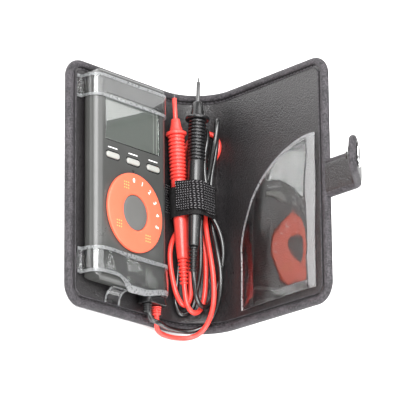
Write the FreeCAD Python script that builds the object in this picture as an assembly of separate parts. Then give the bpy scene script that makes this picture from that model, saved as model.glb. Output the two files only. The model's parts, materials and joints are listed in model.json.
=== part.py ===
import FreeCAD, Part
import math
import os

# Pocket component tester strapped into an open leatherette wallet, with two hard-wired test leads.
# Millimetres. The left cover lies flat with its outer face on Z = 0, +Y runs along the spine towards
# the meter's head and +X from the left cover's outer edge to the spine. X = 0 is under the meter's
# centre line, and Y = 0 is half way up the wallet.

os.makedirs("parts", exist_ok=True)
Vector = FreeCAD.Vector

# ---- driving dimensions ----
# wallet
side_margin = 9.75          # of each cover round the meter
foot_margin = 13.2
head_margin = 5.2
spine_room = 10.75          # meter's right side to the end of the flat cover
cover_thick = 3.0
cover_corner = 10.5
binding_width = 7.0
binding_fold = 0.5          # thickness of the tape round the edge
binding_proud = 0.4         # how far the tape stands above the lining
spine_radius = 22.0         # of the padded back at rest
crease_turn = 20.0          # degrees at each of the five creases, at rest
spine_panels = 4
knuckle_zone = 42.0         # middle length of each crease that belongs to the outer member
crease_gap = 0.3
skin_gap = 0.1              # running gap between pieces that lie on each other

# meter
meter_width = 54.5
meter_length = 109.2
meter_thick = 10.0
meter_seat = 0.1
case_wall = 1.3
case_floor = 1.2
case_split = 4.5            # height of the parting line above the back
edge_round = 5.0            # long upper edges
back_round = 3.6
end_round = 3.0
plan_round = 6.0
case_gap = 0.2              # between the case and what sits inside it

window_width = 41.0
window_height = 24.7
window_drop = 12.1          # meter's head to the window's upper edge
window_round = 1.0
lens_thick = 1.1
lens_sink = 0.2
lens_ledge = 0.9
button_drop = 7.5           # window's lower edge to the buttons' centre line
button_pitch = 15.2
button_long = 10.2
button_wide = 3.6
button_proud = 0.7
button_gap = 0.15
button_flange = 0.8
button_travel = 0.5
button_skirt = 0.9          # flange of each button beyond its cap
button_corner = 1.79
switch_half_long = 2.0
switch_half_wide = 1.6
dial_drop = 26.8            # buttons' centre line to the dial's centre
dial_radius = 20.3
dial_bore = 9.2
dial_thick = 1.3
dial_float = 0.15
neck_radius = 11.4
neck_gap = 0.2
rotor_radius = 15.0
rotor_drop = 0.2            # rotor below the case's inner face
rotor_lift = 0.6            # rotor above the board
wiper_half = 0.7
wiper_tip = 0.8             # wiper short of the rotor's rim
wiper_gap = 0.05
hub_wall = 1.2
hub_roof = 1.0
spring_half = 4.0
spring_thick = 0.5
spring_high = 1.8
spring_gap = 1.4            # spring beyond the rotor's rim
spring_nose = 0.7
dial_bevel = 0.5
dial_bevel_deep = 0.4
grip_dot = 0.35             # raised dots in three patches on the ring
grip_dot_high = 0.2
grip_dot_pitch = 1.5
grip_dot_first = 118.0      # degrees round the ring
grip_dot_turn = 95.0

board_low = 5.0             # underside of the circuit board above the meter's back
board_thick = 0.8
board_inset = 0.8
board_corner = 4.0
hole_play = 0.15
window_play = 0.1
glass_low_margin = 0.5
glass_high_margin = 1.2
zebra_wide = 1.6
zebra_inset = 1.0
zebra_low_margin = 0.2
zebra_high_margin = 0.8
glass_thick = 1.1
zebra_height = 1.2
cell_radius = 10.0
cell_thick = 3.2
cell_x = -11.0
cell_rise = 15.6            # above the meter's foot
cell_lift = 0.3             # cell above the case floor
clip_half = 5.0
clip_reach = 12.0
clip_leg = 1.0
clip_play = 0.05
buzzer_radius = 5.5
buzzer_thick = 1.6
buzzer_x = 14.5
buzzer_rise = 12.0
chip_half = 6.0
chip_deep = 7.2
chip_gap = 0.9              # beyond the rotor's rim
chip_thick = 1.2
chips_x = -20.0             # row of four small parts below the cell
chips_pitch = 4.2
chips_size = 2.4
chips_high = 1.1
coils_x = 20.5              # column of three at the board's right edge
coils_rise = 28.6
coils_pitch = 7.0
coils_wide = 2.5
coils_long = 3.6
coils_high = 1.4
screw_inset = 4.25          # from the meter's sides
screw_rise = 8.6            # from its foot
screw_drop = 16.6           # from its head
screw_radius = 0.9
screw_head = 1.7
screw_head_deep = 1.0
boss_radius = 2.3
screw_play = 0.1
screw_bite = 2.2            # thread length in the front case
screw_short = 0.3
screw_sink = 0.05

# clear sheet
band_thick = 0.4
band_gap = 0.15
top_band_drop = 3.2         # meter's head to the band
top_band_wide = 11.8
low_band_rise = 3.0         # meter's foot to the band
low_band_dial_gap = 1.6     # the band to the dial's rim
band_foot = 1.3
band_lift = 0.02            # clear sheet above the lining
band_cut_radius = 9.0       # curved cut in the lower band's edge
band_cut_x = -6.0
band_cut_share = 0.265      # depth of the cut as a share of the band's width
stop_gap = 0.15
stop_left = -10.3
stop_right = 0.3
stop_height = 6.5
pocket_thick = 0.35
pocket_lift = 0.25
pocket_lip = 0.6            # above the lining at its free straight edge
pocket_swell = 2.2          # above the lining where it stands out most
pocket_slope = 14.0
pocket_fall = 8.0
pocket_inner = 15.0         # distances from the crease along the right cover
pocket_mid = 35.6
pocket_mid_y = 10.3
pocket_low_turn = -24.0
pocket_outer_y = 23.5
pocket_edge_gap = 0.4

# probes
needle_length = 2.8
needle_radius = 0.45
needle_point = 0.12
shaft_length = 10.5
shaft_radius = 0.9
sleeve_radius = 1.15
shaft_seat = 4.0            # shaft inside the handle
shaft_fit = 0.02
cone_length = 7.7
cone_small = 2.3
cone_large = 3.5
cone_lip = 0.5
flange_edge = 0.3
flange_radius = 5.6
flange_thick = 1.6
grip_length = 23.9
grip_ribs = 13
grip_blend = 1.0
rib_radius = 4.3
groove_radius = 3.8
handle_length = 43.5
handle_radius = 3.95
handle_end = 3.8
handle_bevel = 0.7
relief_length = 13.5
relief_rings = 7
relief_large = 2.9
relief_small = 2.1
relief_groove = 0.5
lead_straight = 4.2         # straight length of lead beyond a probe's relief
relief_seat = 3.0           # solid nose of each relief, where its lead ends
relief_gap = 0.05
ring_share = 0.62           # part of each ring's pitch that stands proud
lead_radius = 1.3
# ends of the probes: beyond the meter's right side, from its head (tips) or foot (tails), and above the lining
red_tip_place = (9.85, 2.6, 5.6)
red_tail_place = (14.05, 17.6, 7.5)
black_tip_place = (19.35, 11.7, 14.2)
black_tail_place = (12.35, 25.6, 15.8)

# lead boot on the meter's lower end
boot_width = 13.6
boot_side = 0.95            # short of the meter's right side
boot_length = 4.5
boot_low = 1.4              # above the meter's back
boot_high = 8.9
boot_flare = 0.8
boot_black_in = 11.25       # leads in from the meter's right side
boot_red_in = 4.25
boot_relief_length = 4.6
boot_relief_rings = 4
boot_relief_radius = 2.25
boot_relief_taper = 0.25
boot_relief_groove = 0.5
boot_corner = 1.5
boot_flare_corner = 1.8
lead_fit = 0.04             # between a lead and what holds it

# woven lead strap
tape_thick = 0.7
tape_rise = 48.4            # strap above the meter's foot
tape_wide = 15.5
tape_slack = 0.4
flap_hinge = 22.75          # the tape's free layer is sewn to the loop here, beyond the meter's side
flap_past_red = 3.2         # how far the free end reaches beyond the red probe's axis
flap_drop = 3.0             # and below the black probe's axis
strand_slack = 0.15
outer_strand = (27.05, 15.0)  # outermost strands of lead in the strap: beyond the meter's side, above the lining
upper_strand = (23.75, 17.5)
lower_strand = (18.15, 5.4)
base_start = 4.75           # beyond the meter's side
base_wide = 7.5

# closing strap
tongue_width = 19.8
tongue_y = -1.5
tongue_thick = 4.3
tongue_stub = 3.0
tongue_root = 17.5
tongue_middle = 10.5
tongue_tip = 20.5
tongue_bend = 48.0          # degrees at rest
tongue_zone = 7.0
tongue_gap = 0.3
cap_radius = 6.3
cap_high = 1.7
cap_from_tip = 8.5
cap_profile = [(0.0, 1.0), (0.5, 1.0), (1.1, 0.82), (1.5, 0.5)]   # (height, share of the radius)
cap_crown = 0.15
rivet_radius = 1.1
rivet_play = 0.1
tongue_corner = 9.4
stud_neck = 0.8             # share of the stud's radius
stud_bulge_low = 0.7
stud_bulge_high = 0.4
socket_wall = 0.5
stud_radius = 2.0
stud_high = 1.6
stud_base_radius = 4.2
stud_base_high = 0.35
socket_radius = 5.0
socket_deep = 2.2
socket_bore = 2.2

# ---- places worked out from them ----
wallet_height = foot_margin + meter_length + head_margin
half_height = wallet_height / 2
meter_half = meter_width / 2
cover_reach = meter_half + side_margin
cover_flat = cover_reach + meter_half + spine_room
meter_foot = foot_margin - half_height
meter_head = meter_foot + meter_length
mid_plane = cover_thick / 2
crease = math.radians(crease_turn)
tangent_stub = spine_radius * math.tan(crease / 2)
panel_pitch = 2 * tangent_stub
hinge_x = cover_flat - cover_reach + tangent_stub
cover_long = cover_flat + tangent_stub
cut_back = mid_plane + crease_gap
meter_back = cover_thick + meter_seat
meter_face = meter_back + meter_thick
board_top = board_low + board_thick
lead_height = (boot_low + boot_high) / 2
window_right = window_width / 2
window_left = -window_right
window_high = meter_head - window_drop
window_low = window_high - window_height
button_y = window_low - button_drop
dial_y = button_y - dial_drop
cell_y = meter_foot + cell_rise
screw_x = meter_half - screw_inset
screw_y_low = meter_foot + screw_rise
screw_y_high = meter_head - screw_drop
top_band_high = meter_head - top_band_drop
top_band_low = top_band_high - top_band_wide
low_band_low = meter_foot + low_band_rise
low_band_high = dial_y - dial_radius - low_band_dial_gap
boot_right = meter_half - boot_side
boot_left = boot_right - boot_width
boot_black_x = meter_half - boot_black_in
boot_red_x = meter_half - boot_red_in
tape_low = meter_foot + tape_rise
tape_high = tape_low + tape_wide
flap_right = meter_half + flap_hinge
metal_length = needle_length + shaft_length
flange_start = metal_length + cone_length
grip_start = flange_start + flange_thick
handle_stop = grip_start + grip_length + handle_length
beyond = 100.0              # larger than the whole object, for cutting blocks
over = 1.0                  # overrun of cutting shapes
Z = Vector(0, 0, 1)
Y = Vector(0, 1, 0)


def beside(place, y_from):
    """A place given beyond the meter's right side, from a Y and above the lining."""
    return Vector(meter_half + place[0], y_from + place[1], cover_thick + place[2])


red_tip = beside(red_tip_place, meter_head)
red_tail = beside(red_tail_place, meter_foot)
black_tip = beside(black_tip_place, meter_head)
black_tail = beside(black_tail_place, meter_foot)


def crease_points():
    """Pivot lines of the five creases in the XZ plane, at rest."""
    points = [(hinge_x, mid_plane)]
    for i in range(spine_panels):
        turn = crease * (i + 1)
        x, z = points[-1]
        points.append((x + panel_pitch * math.cos(turn), z + panel_pitch * math.sin(turn)))
    return points


PIVOTS = crease_points()
COVER_TURN = crease_turn * (spine_panels + 1)


# ---- helpers ----
def save(name, *shapes):
    """One STEP file per node; several separate solids stay separate in it."""
    solids = [solid for shape in shapes for solid in shape.Solids]
    shape = solids[0] if len(solids) == 1 else Part.makeCompound(solids)
    for solid in solids:
        if not solid.isValid():
            print("INVALID", name)
    shape.exportStep("parts/" + name + ".step")
    print("%-24s %2d solid(s) %9.1f mm3" % (name, len(solids), shape.Volume))
    return shape


def block(x0, x1, y0, y1, z0, z1):
    return Part.makeBox(x1 - x0, y1 - y0, z1 - z0, Vector(x0, y0, z0))


def disc(radius, height, x, y, z):
    return Part.makeCylinder(radius, height, Vector(x, y, z), Z)


def rounded_rect(x0, x1, y0, y1, r, z, height):
    """A flat block with rounded plan corners."""
    face = Part.Face(rounded_wire([(x0, y0), (x1, y0), (x1, y1), (x0, y1)], [r] * 4, lambda u, v: Vector(u, v, z)))
    return face.extrude(Vector(0, 0, height))


def rounded_wire(corners, radii, place):
    """Closed outline through corners, each rounded by its radius; place() puts (u, v) in space."""
    edges = []
    n = len(corners)
    ends = []
    for i in range(n):
        p = Vector(*corners[i], 0)
        before = (Vector(*corners[i - 1], 0) - p).normalize()
        after = (Vector(*corners[(i + 1) % n], 0) - p).normalize()
        r = radii[i]
        half = before.getAngle(after) / 2
        cut = r / math.tan(half) if r else 0
        centre_way = (before + after).normalize() if r else Vector(0, 0, 0)
        middle = p + centre_way * (r / math.sin(half) - r) if r else p
        ends.append((p + before * cut, middle, p + after * cut, r))
    for i in range(n):
        a, m, b, r = ends[i]
        if r:
            edges.append(Part.Arc(place(a.x, a.y), place(m.x, m.y), place(b.x, b.y)).toShape())
        following = ends[(i + 1) % n][0]
        if b.distanceToPoint(following) > 1e-6:
            edges.append(Part.LineSegment(place(b.x, b.y), place(following.x, following.y)).toShape())
    return Part.Wire(edges)


def pillow(x0, x1, y0, y1, z0, z1, top_r, low_r, end_r, plan_r):
    """A slim case block: rounded long edges, rounded ends and rounded plan corners."""
    across = rounded_wire([(x0, z0), (x1, z0), (x1, z1), (x0, z1)], [low_r, low_r, top_r, top_r],
                          lambda u, v: Vector(u, y0, v))
    along = rounded_wire([(y0, z0), (y1, z0), (y1, z1), (y0, z1)], [low_r, low_r, end_r, end_r],
                         lambda u, v: Vector(x0, u, v))
    body = Part.Face(across).extrude(Vector(0, y1 - y0, 0))
    body = body.common(Part.Face(along).extrude(Vector(x1 - x0, 0, 0)))
    return body.common(rounded_rect(x0, x1, y0, y1, plan_r, z0, z1 - z0))


def turned(profile, base, axis):
    """Solid of revolution: profile is (distance along axis, radius) from base along axis."""
    points = [(profile[0][0], 0)] + list(profile) + [(profile[-1][0], 0)]
    clean = [p for i, p in enumerate(points) if i == 0 or p != points[i - 1]]
    wire = Part.makePolygon([Vector(r, 0, s) for s, r in clean] + [Vector(clean[0][1], 0, clean[0][0])])
    solid = Part.Face(wire).revolve(Vector(0, 0, 0), Z, 360)
    solid = Part.Solid(solid) if solid.ShapeType == "Shell" else solid
    solid.Placement = FreeCAD.Placement(base, FreeCAD.Rotation(Z, axis))
    return solid


def in_fold(shape, pivot, degrees):
    """Put a shape made with its crease at the origin onto a pivot line, turned up by degrees."""
    moved = shape.copy()
    moved.rotate(Vector(0, 0, 0), Y, -degrees)
    moved.translate(Vector(pivot[0], 0, pivot[1]))
    return moved


def knuckled(blank, thick, low, high, zone, gap, centre, start=None, end=None):
    """Give a flat blank (mid-plane at z = 0) barrels and cut-backs at its creases.

    start and end are the X of the creases; the outer member owns the middle zone of a crease.
    """
    back = thick / 2 + gap
    z_low = -thick / 2
    for x, own_middle, way in ((start, True, 1), (end, False, -1)):
        if x is None:
            continue
        zones = [(low, centre - zone / 2, not own_middle), (centre - zone / 2, centre + zone / 2, own_middle),
                 (centre + zone / 2, high, not own_middle)]
        for y0, y1, own in zones:
            a = y0 if y0 == low else y0 + gap / 2
            b = y1 if y1 == high else y1 - gap / 2
            if own:
                barrel = Part.makeCylinder(thick / 2, b - a, Vector(x, a, 0), Y)
                web = block(min(x, x + way * back), max(x, x + way * back), a, b, z_low, z_low + thick)
                blank = blank.fuse(barrel).fuse(web)
    return blank.removeSplitter()


def plate(length, width, thick, centre, start_back, end_back):
    """Flat plate between two creases, short of both by the cut-backs."""
    return block(start_back, length - end_back, centre - width / 2, centre + width / 2, -thick / 2, thick / 2)


# ---- wallet ----
def cover_blank():
    """Cover board with its crease at X = 0 and the lining up; its edges are thinned for the tape."""
    low = -half_height
    outline = [(cut_back, low), (cover_long, low), (cover_long, half_height), (cut_back, half_height)]
    inset = binding_fold
    core = [(cut_back, low + binding_width), (cover_long - binding_width, low + binding_width),
            (cover_long - binding_width, half_height - binding_width), (cut_back, half_height - binding_width)]
    edge = [(cut_back, low + inset), (cover_long - inset, low + inset),
            (cover_long - inset, half_height - inset), (cut_back, half_height - inset)]
    corner = cover_corner
    inside = corner - binding_width
    flat = lambda z: (lambda u, v: Vector(u, v, z))
    board = Part.Face(rounded_wire(core, [0, inside, inside, 0], flat(-mid_plane))).extrude(Vector(0, 0, cover_thick))
    rim_low = -mid_plane + binding_fold
    rim_high = mid_plane + binding_proud - binding_fold
    rim = Part.Face(rounded_wire(edge, [0, corner - inset, corner - inset, 0], flat(rim_low)))
    rim = rim.extrude(Vector(0, 0, rim_high - rim_low))
    panel = board.fuse(rim).removeSplitter()
    tape = Part.Face(rounded_wire(outline, [0, corner, corner, 0], flat(-mid_plane)))
    tape = tape.extrude(Vector(0, 0, cover_thick + binding_proud))
    hollow = Part.Face(rounded_wire(core, [0, inside, inside, 0], flat(-mid_plane - 1)))
    tape = tape.cut(hollow.extrude(Vector(0, 0, cover_thick + 4))).cut(rim)
    return panel, tape


def wallet():
    panel, tape = cover_blank()
    left = panel.copy()
    left.rotate(Vector(0, 0, 0), Z, 180)
    left = knuckled(left, cover_thick, -half_height, half_height, knuckle_zone, crease_gap, 0, end=0)
    left.translate(Vector(hinge_x, 0, mid_plane))
    recess = disc(socket_radius, socket_deep, SNAP_X, tongue_y, 0)
    save("left_cover_panel", left.cut(recess))
    left_tape = tape.copy()
    left_tape.rotate(Vector(0, 0, 0), Z, 180)
    left_tape.translate(Vector(hinge_x, 0, mid_plane))
    save("left_cover_binding", left_tape.cut(recess))
    for i in range(spine_panels):
        strip = plate(panel_pitch, wallet_height, cover_thick, 0, cut_back, cut_back)
        strip = knuckled(strip, cover_thick, -half_height, half_height, knuckle_zone, crease_gap, 0,
                         start=0, end=panel_pitch)
        save("spine_panel_%d" % (i + 1), in_fold(strip, PIVOTS[i], crease_turn * (i + 1)))
    right = knuckled(panel, cover_thick, -half_height, half_height, knuckle_zone, crease_gap, 0, start=0)
    save("right_cover_panel", in_fold(right, PIVOTS[-1], COVER_TURN))
    save("right_cover_binding", in_fold(tape, PIVOTS[-1], COVER_TURN))


def document_pocket():
    """Clear sheet over the outer lower part of the right lining, its free edge a quarter arc."""
    z = mid_plane + pocket_lift
    low = -half_height + binding_width + pocket_edge_gap
    far = cover_long - binding_width - pocket_edge_gap
    a = Vector(pocket_inner, low, z)
    b = Vector(pocket_inner, pocket_low_turn, z)
    m = Vector(pocket_mid, pocket_mid_y, z)
    c = Vector(far, pocket_outer_y, z)
    round_off = cover_corner - binding_width - pocket_edge_gap
    d = Vector(far, low + round_off, z)
    middle = Vector(far - round_off * (1 - math.sqrt(0.5)), low + round_off * (1 - math.sqrt(0.5)), z)
    e = Vector(far - round_off, low, z)
    wire = Part.Wire([Part.LineSegment(a, b).toShape(), Part.Arc(b, m, c).toShape(), Part.LineSegment(c, d).toShape(),
                      Part.Arc(d, middle, e).toShape(), Part.LineSegment(e, a).toShape()])
    rise = [(pocket_inner - over, pocket_lip), (pocket_inner, pocket_lip), (pocket_inner + pocket_slope, pocket_swell),
            (far - pocket_fall, pocket_swell), (far - pocket_fall / 3, pocket_swell * 0.55), (far, 0), (far + over, 0)]
    across = [Vector(x, low - over, z + up) for x, up in rise]
    across += [Vector(x, low - over, z + up + pocket_thick) for x, up in reversed(rise)]
    across.append(across[0])
    bulged = Part.Face(Part.makePolygon(across)).extrude(Vector(0, pocket_outer_y - low + 2 * over, 0))
    sheet = Part.Face(wire).extrude(Vector(0, 0, pocket_swell + 2 * over)).common(bulged)
    save("document_pocket", in_fold(sheet, PIVOTS[-1], COVER_TURN))


# ---- closing strap ----
SNAP_X = tongue_tip - cap_from_tip - cover_reach - tongue_stub


def tongue_frame():
    """Pivots of the closing strap in the XZ plane and the angle of each of its members."""
    turn = math.radians(COVER_TURN)
    x = PIVOTS[-1][0] + (cover_long + tongue_stub) * math.cos(turn)
    z = PIVOTS[-1][1] + (cover_long + tongue_stub) * math.sin(turn)
    root = (x, z)
    bend = (x + tongue_root * math.cos(turn), z + tongue_root * math.sin(turn))
    past = COVER_TURN + tongue_bend
    far = math.radians(past)
    tip = (bend[0] + tongue_middle * math.cos(far), bend[1] + tongue_middle * math.sin(far))
    return root, bend, tip, past


def closing_strap():
    root, bend, tip, past = tongue_frame()
    low = tongue_y - tongue_width / 2
    high = tongue_y + tongue_width / 2
    back = tongue_thick / 2 + tongue_gap
    shape = lambda blank, **ends: knuckled(blank, tongue_thick, low, high, tongue_zone, tongue_gap, tongue_y, **ends)
    half = tongue_thick / 2
    stub = shape(block(-tongue_stub + skin_gap, -back, low, high, -half, half), end=0)
    save("strap_anchor", in_fold(stub, root, COVER_TURN))
    root_piece = shape(plate(tongue_root, tongue_width, tongue_thick, tongue_y, back, back), start=0, end=tongue_root)
    save("strap_root", in_fold(root_piece, root, COVER_TURN))
    middle = shape(plate(tongue_middle, tongue_width, tongue_thick, tongue_y, back, back), start=0, end=tongue_middle)
    save("strap_middle", in_fold(middle, bend, past))
    outline = [(back, low), (tongue_tip, low), (tongue_tip, high), (back, high)]
    face = Part.Face(rounded_wire(outline, [0, tongue_corner, tongue_corner, 0],
                                  lambda u, v: Vector(u, v, -half)))
    end_piece = shape(face.extrude(Vector(0, 0, tongue_thick)), start=0)
    cap_x = tongue_tip - cap_from_tip
    rivet_hole = disc(rivet_radius + rivet_play, tongue_thick + 2 * over, cap_x, tongue_y, -half - over)
    save("strap_tip", in_fold(end_piece.cut(rivet_hole), tip, past))
    dome = [(high_up, cap_radius * share) for high_up, share in cap_profile] + [(cap_high, cap_radius * cap_crown)]
    cap = turned(dome, Vector(cap_x, tongue_y, -half), -Z).fuse(disc(rivet_radius, tongue_thick, cap_x, tongue_y, -half))
    save("snap_cap", in_fold(cap, tip, past))
    neck = stud_radius * stud_neck
    stud = turned([(0, stud_base_radius), (stud_base_high, stud_base_radius), (stud_base_high, neck),
                   (stud_high - stud_bulge_low, neck), (stud_high - stud_bulge_high, stud_radius), (stud_high, neck)],
                  Vector(cap_x, tongue_y, half), Z)
    save("snap_stud", in_fold(stud, tip, past))
    socket = disc(socket_radius - skin_gap, socket_deep - skin_gap, SNAP_X, tongue_y, 0)
    save("snap_socket", socket.cut(disc(socket_bore, socket_deep - socket_wall, SNAP_X, tongue_y, 0)))


# ---- meter ----
def below(height):
    """A large block under a given height."""
    return block(-beyond, beyond, -beyond, beyond, -beyond, height)


def meter_case():
    zb = meter_back
    w = case_wall
    outer = pillow(-meter_half, meter_half, meter_foot, meter_head, zb, meter_face,
                   edge_round, back_round, end_round, plan_round)
    inner = pillow(-meter_half + w, meter_half - w, meter_foot + w, meter_head - w, zb + case_floor, meter_face - w,
                   edge_round - w, back_round - case_floor + case_gap, end_round - w, plan_round - w)
    rear = outer.common(below(zb + case_split)).cut(inner)
    front = outer.cut(below(zb + case_split)).cut(inner)
    front_boss_low = zb + board_top + skin_gap
    for x, y in screw_places():
        boss = disc(boss_radius, board_low - case_floor - skin_gap, x, y, zb + case_floor)
        rear = rear.fuse(boss)
        pillar = disc(boss_radius, meter_face - w / 2 - front_boss_low, x, y, front_boss_low)
        front = front.fuse(pillar.common(outer))
    for x, y in screw_places():
        rear = rear.cut(disc(screw_radius + screw_play, meter_thick, x, y, zb - over))
        rear = rear.cut(disc(screw_head + screw_play, screw_head_deep + screw_play, x, y, zb))
        front = front.cut(disc(screw_radius, screw_bite, x, y, zb + board_top))
    # window with a ledge for the lens
    seat = meter_face - lens_thick - lens_sink
    front = front.cut(rounded_rect(window_left, window_right, window_low, window_high, window_round, seat, meter_thick))
    front = front.cut(rounded_rect(window_left + lens_ledge, window_right - lens_ledge, window_low + lens_ledge,
                                   window_high - lens_ledge, window_round, zb + board_top, meter_thick))
    # button slots and the bore for the dial's neck
    for x in button_places():
        front = front.cut(stadium(x, button_gap, meter_face - w - over, meter_thick))
    front = front.cut(disc(neck_radius + neck_gap, meter_thick, 0, dial_y, meter_face - w - over))
    for x in (boot_black_x, boot_red_x):
        hole = Part.makeCylinder(lead_radius + skin_gap, plan_round, Vector(x, meter_foot - over, zb + lead_height), Y)
        front = front.cut(hole)
        rear = rear.cut(hole)
    save("meter_rear_case", rear)
    save("meter_front_case", front)
    screws = []
    for x, y in screw_places():
        head = disc(screw_head, screw_head_deep, x, y, zb + screw_sink)
        shank = disc(screw_radius - screw_sink, board_top + screw_bite - screw_short, x, y, zb + screw_sink)
        screws.append(head.fuse(shank))
    save("case_screws", *screws)


def screw_places():
    return [(side * screw_x, y) for side in (-1, 1) for y in (screw_y_low, screw_y_high)]


def button_places():
    return [-button_pitch, 0, button_pitch]


def stadium(x, grow, z, height):
    """A button's rounded outline, grown all round, as an upright solid."""
    half_long = button_long / 2 + grow
    half_wide = button_wide / 2 + grow
    return rounded_rect(x - half_long, x + half_long, button_y - half_wide, button_y + half_wide,
                        min(half_wide - 0.01, button_corner + grow), z, height)


def buttons():
    """Silicone buttons with a skirt under the case, each over its own tact switch."""
    under = meter_face - case_wall
    skirt_low = under - skin_gap - button_flange
    names = ["hold_button", "select_button", "range_button"]
    for name, x in zip(names, button_places()):
        cap = stadium(x, 0, skirt_low, meter_face + button_proud - skirt_low)
        save(name, cap.fuse(stadium(x, button_skirt, skirt_low, button_flange)).removeSplitter())
    switch_top = skirt_low - button_travel - skin_gap
    switches = [block(x - switch_half_long, x + switch_half_long, button_y - switch_half_wide,
                      button_y + switch_half_wide, meter_back + board_top, switch_top) for x in button_places()]
    save("tact_switches", *switches)


def dial_bore_cut():
    return disc(dial_bore, meter_thick * 2, 0, dial_y, meter_back)


def range_switch():
    """Flat ring with a short neck through the case, clipped to a contact rotor that turns round a fixed hub."""
    board = meter_back + board_top
    under = meter_face - case_wall
    rotor_top = under - rotor_drop
    low = meter_face + dial_float
    face = low + dial_thick + dial_bevel_deep
    ring = disc(dial_radius, dial_thick, 0, dial_y, low)
    crown = Part.makeCone(dial_radius, dial_radius - dial_bevel, dial_bevel_deep, Vector(0, dial_y, low + dial_thick), Z)
    ring = ring.fuse(crown).fuse(disc(neck_radius, low - rotor_top, 0, dial_y, rotor_top)).cut(dial_bore_cut())
    middle = (dial_bore + dial_radius) / 2
    for patch in range(3):
        turn = math.radians(grip_dot_first + patch * grip_dot_turn)
        for i in (-1, 0, 1):
            for j in (-1, 0, 1):
                ring = ring.fuse(disc(grip_dot, grip_dot_high + skin_gap, middle * math.cos(turn) + i * grip_dot_pitch,
                                      dial_y + middle * math.sin(turn) + j * grip_dot_pitch, face - skin_gap))
    save("range_dial", ring.removeSplitter())
    rotor_low = board + rotor_lift
    save("contact_rotor", disc(rotor_radius, rotor_top - rotor_low, 0, dial_y, rotor_low).cut(dial_bore_cut()))
    wipers = []
    for turn in (0, 120, 240):
        arm = block(dial_bore + over, rotor_radius - wiper_tip, dial_y - wiper_half, dial_y + wiper_half,
                    board + wiper_gap, rotor_low)
        arm.rotate(Vector(0, dial_y, 0), Z, turn)
        wipers.append(arm)
    save("rotor_wipers", *wipers)
    hub_radius = dial_bore - neck_gap
    hub = disc(hub_radius, low + dial_thick - board, 0, dial_y, board)
    save("dial_hub", hub.cut(disc(hub_radius - hub_wall, low + dial_thick - hub_roof - board, 0, dial_y, board)))
    rim = dial_y - rotor_radius - spring_gap
    spring = block(-spring_half, spring_half, rim - spring_thick, rim, board, board + spring_high)
    save("detent_spring", spring.fuse(disc(spring_nose, spring_high, 0, rim + spring_nose / 2, board)))


def meter_inside():
    zb = meter_back
    top = zb + board_top
    lens = rounded_rect(window_left + window_play, window_right - window_play, window_low + window_play,
                        window_high - window_play, window_round, meter_face - lens_sink - lens_thick, lens_thick)
    save("display_lens", lens)
    inset = case_wall + board_inset
    board = rounded_rect(-meter_half + inset, meter_half - inset, meter_foot + inset, meter_head - inset, board_corner,
                         zb + board_low, board_thick)
    for x, y in screw_places():
        board = board.cut(disc(screw_radius + hole_play, board_thick + 2 * over, x, y, zb + board_low - over))
    save("circuit_board", board)
    glass_low = top + zebra_height
    save("lcd_glass", block(window_left, window_right, window_low - glass_low_margin, window_high + glass_high_margin,
                            glass_low, glass_low + glass_thick))
    zebras = [block(window_left + zebra_inset, window_right - zebra_inset, y, y + zebra_wide, top, glass_low)
              for y in (window_low - zebra_low_margin, window_high - zebra_high_margin)]
    save("zebra_strips", *zebras)
    cell_low = zb + case_floor + cell_lift
    cell_top = cell_low + cell_thick
    save("coin_cell", disc(cell_radius, cell_thick, cell_x, cell_y, cell_low))
    clip = block(cell_x - clip_half, cell_x + clip_half, cell_y - clip_reach, cell_y + clip_reach, cell_top,
                 zb + board_low)
    for y in (cell_y - clip_reach, cell_y + clip_reach - clip_leg):
        clip = clip.fuse(block(cell_x - clip_half, cell_x + clip_half, y, y + clip_leg, zb + case_floor + skin_gap, cell_top))
    save("battery_clip", clip.cut(disc(cell_radius + clip_play, cell_thick, cell_x, cell_y, cell_low)))
    save("buzzer", disc(buzzer_radius, buzzer_thick, buzzer_x, meter_foot + buzzer_rise, top))
    chip_low = dial_y + rotor_radius + chip_gap
    save("main_chip", block(-chip_half, chip_half, chip_low, chip_low + chip_deep, top, top + chip_thick))
    chips_y = meter_foot + plan_round
    parts = []
    for i in range(4):
        x = chips_x + i * chips_pitch
        parts.append(block(x, x + chips_size, chips_y, chips_y + chips_size, top, top + chips_high))
    for i in range(3):
        y = meter_foot + coils_rise + i * coils_pitch
        parts.append(block(coils_x, coils_x + coils_wide, y, y + coils_long, top, top + coils_high))
    save("board_parts", *parts)


def lead_boot():
    """Black flared boot on the meter's lower end with a ringed relief for each lead."""
    near = meter_foot - skin_gap
    far = near - boot_length
    low = meter_back + boot_low
    high = meter_back + boot_high
    axis_z = meter_back + lead_height
    ends = []
    for y, flare, corner in ((near, 0, boot_corner), (far, boot_flare, boot_flare_corner)):
        x0 = boot_left - flare
        x1 = boot_right + flare
        ends.append(rounded_wire([(x0, low - flare), (x1, low - flare), (x1, high + flare), (x0, high + flare)],
                                 [corner] * 4, lambda u, v: Vector(u, y, v)))
    boot = Part.makeLoft(ends, True, True)
    places = (("black_boot_relief", boot_black_x), ("red_boot_relief", boot_red_x))
    for name, x in places:
        bore = Part.makeCylinder(lead_radius + lead_fit, beyond, Vector(x, -beyond, axis_z), Y)
        boot = boot.cut(bore)
        profile = ringed(0, boot_relief_length, boot_relief_rings, boot_relief_radius + boot_relief_taper,
                         boot_relief_radius, boot_relief_groove)
        save(name, turned(profile, Vector(x, far, axis_z), -Y).cut(bore))
    save("lead_boot", boot)


def ringed(start, length, rings, large, small, groove):
    """Profile of rings along a relief: (distance, radius) pairs tapering from large to small."""
    pitch = length / rings
    profile = []
    for i in range(rings):
        s = start + i * pitch
        proud = s + pitch * ring_share
        r = large + (small - large) * i / (rings - 1)
        profile += [(s, r), (proud, r), (proud, r - groove), (s + pitch, r - groove)]
    return profile


# ---- probes ----
def probe_way(tip, tail):
    return (tail - tip).normalize()


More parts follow.
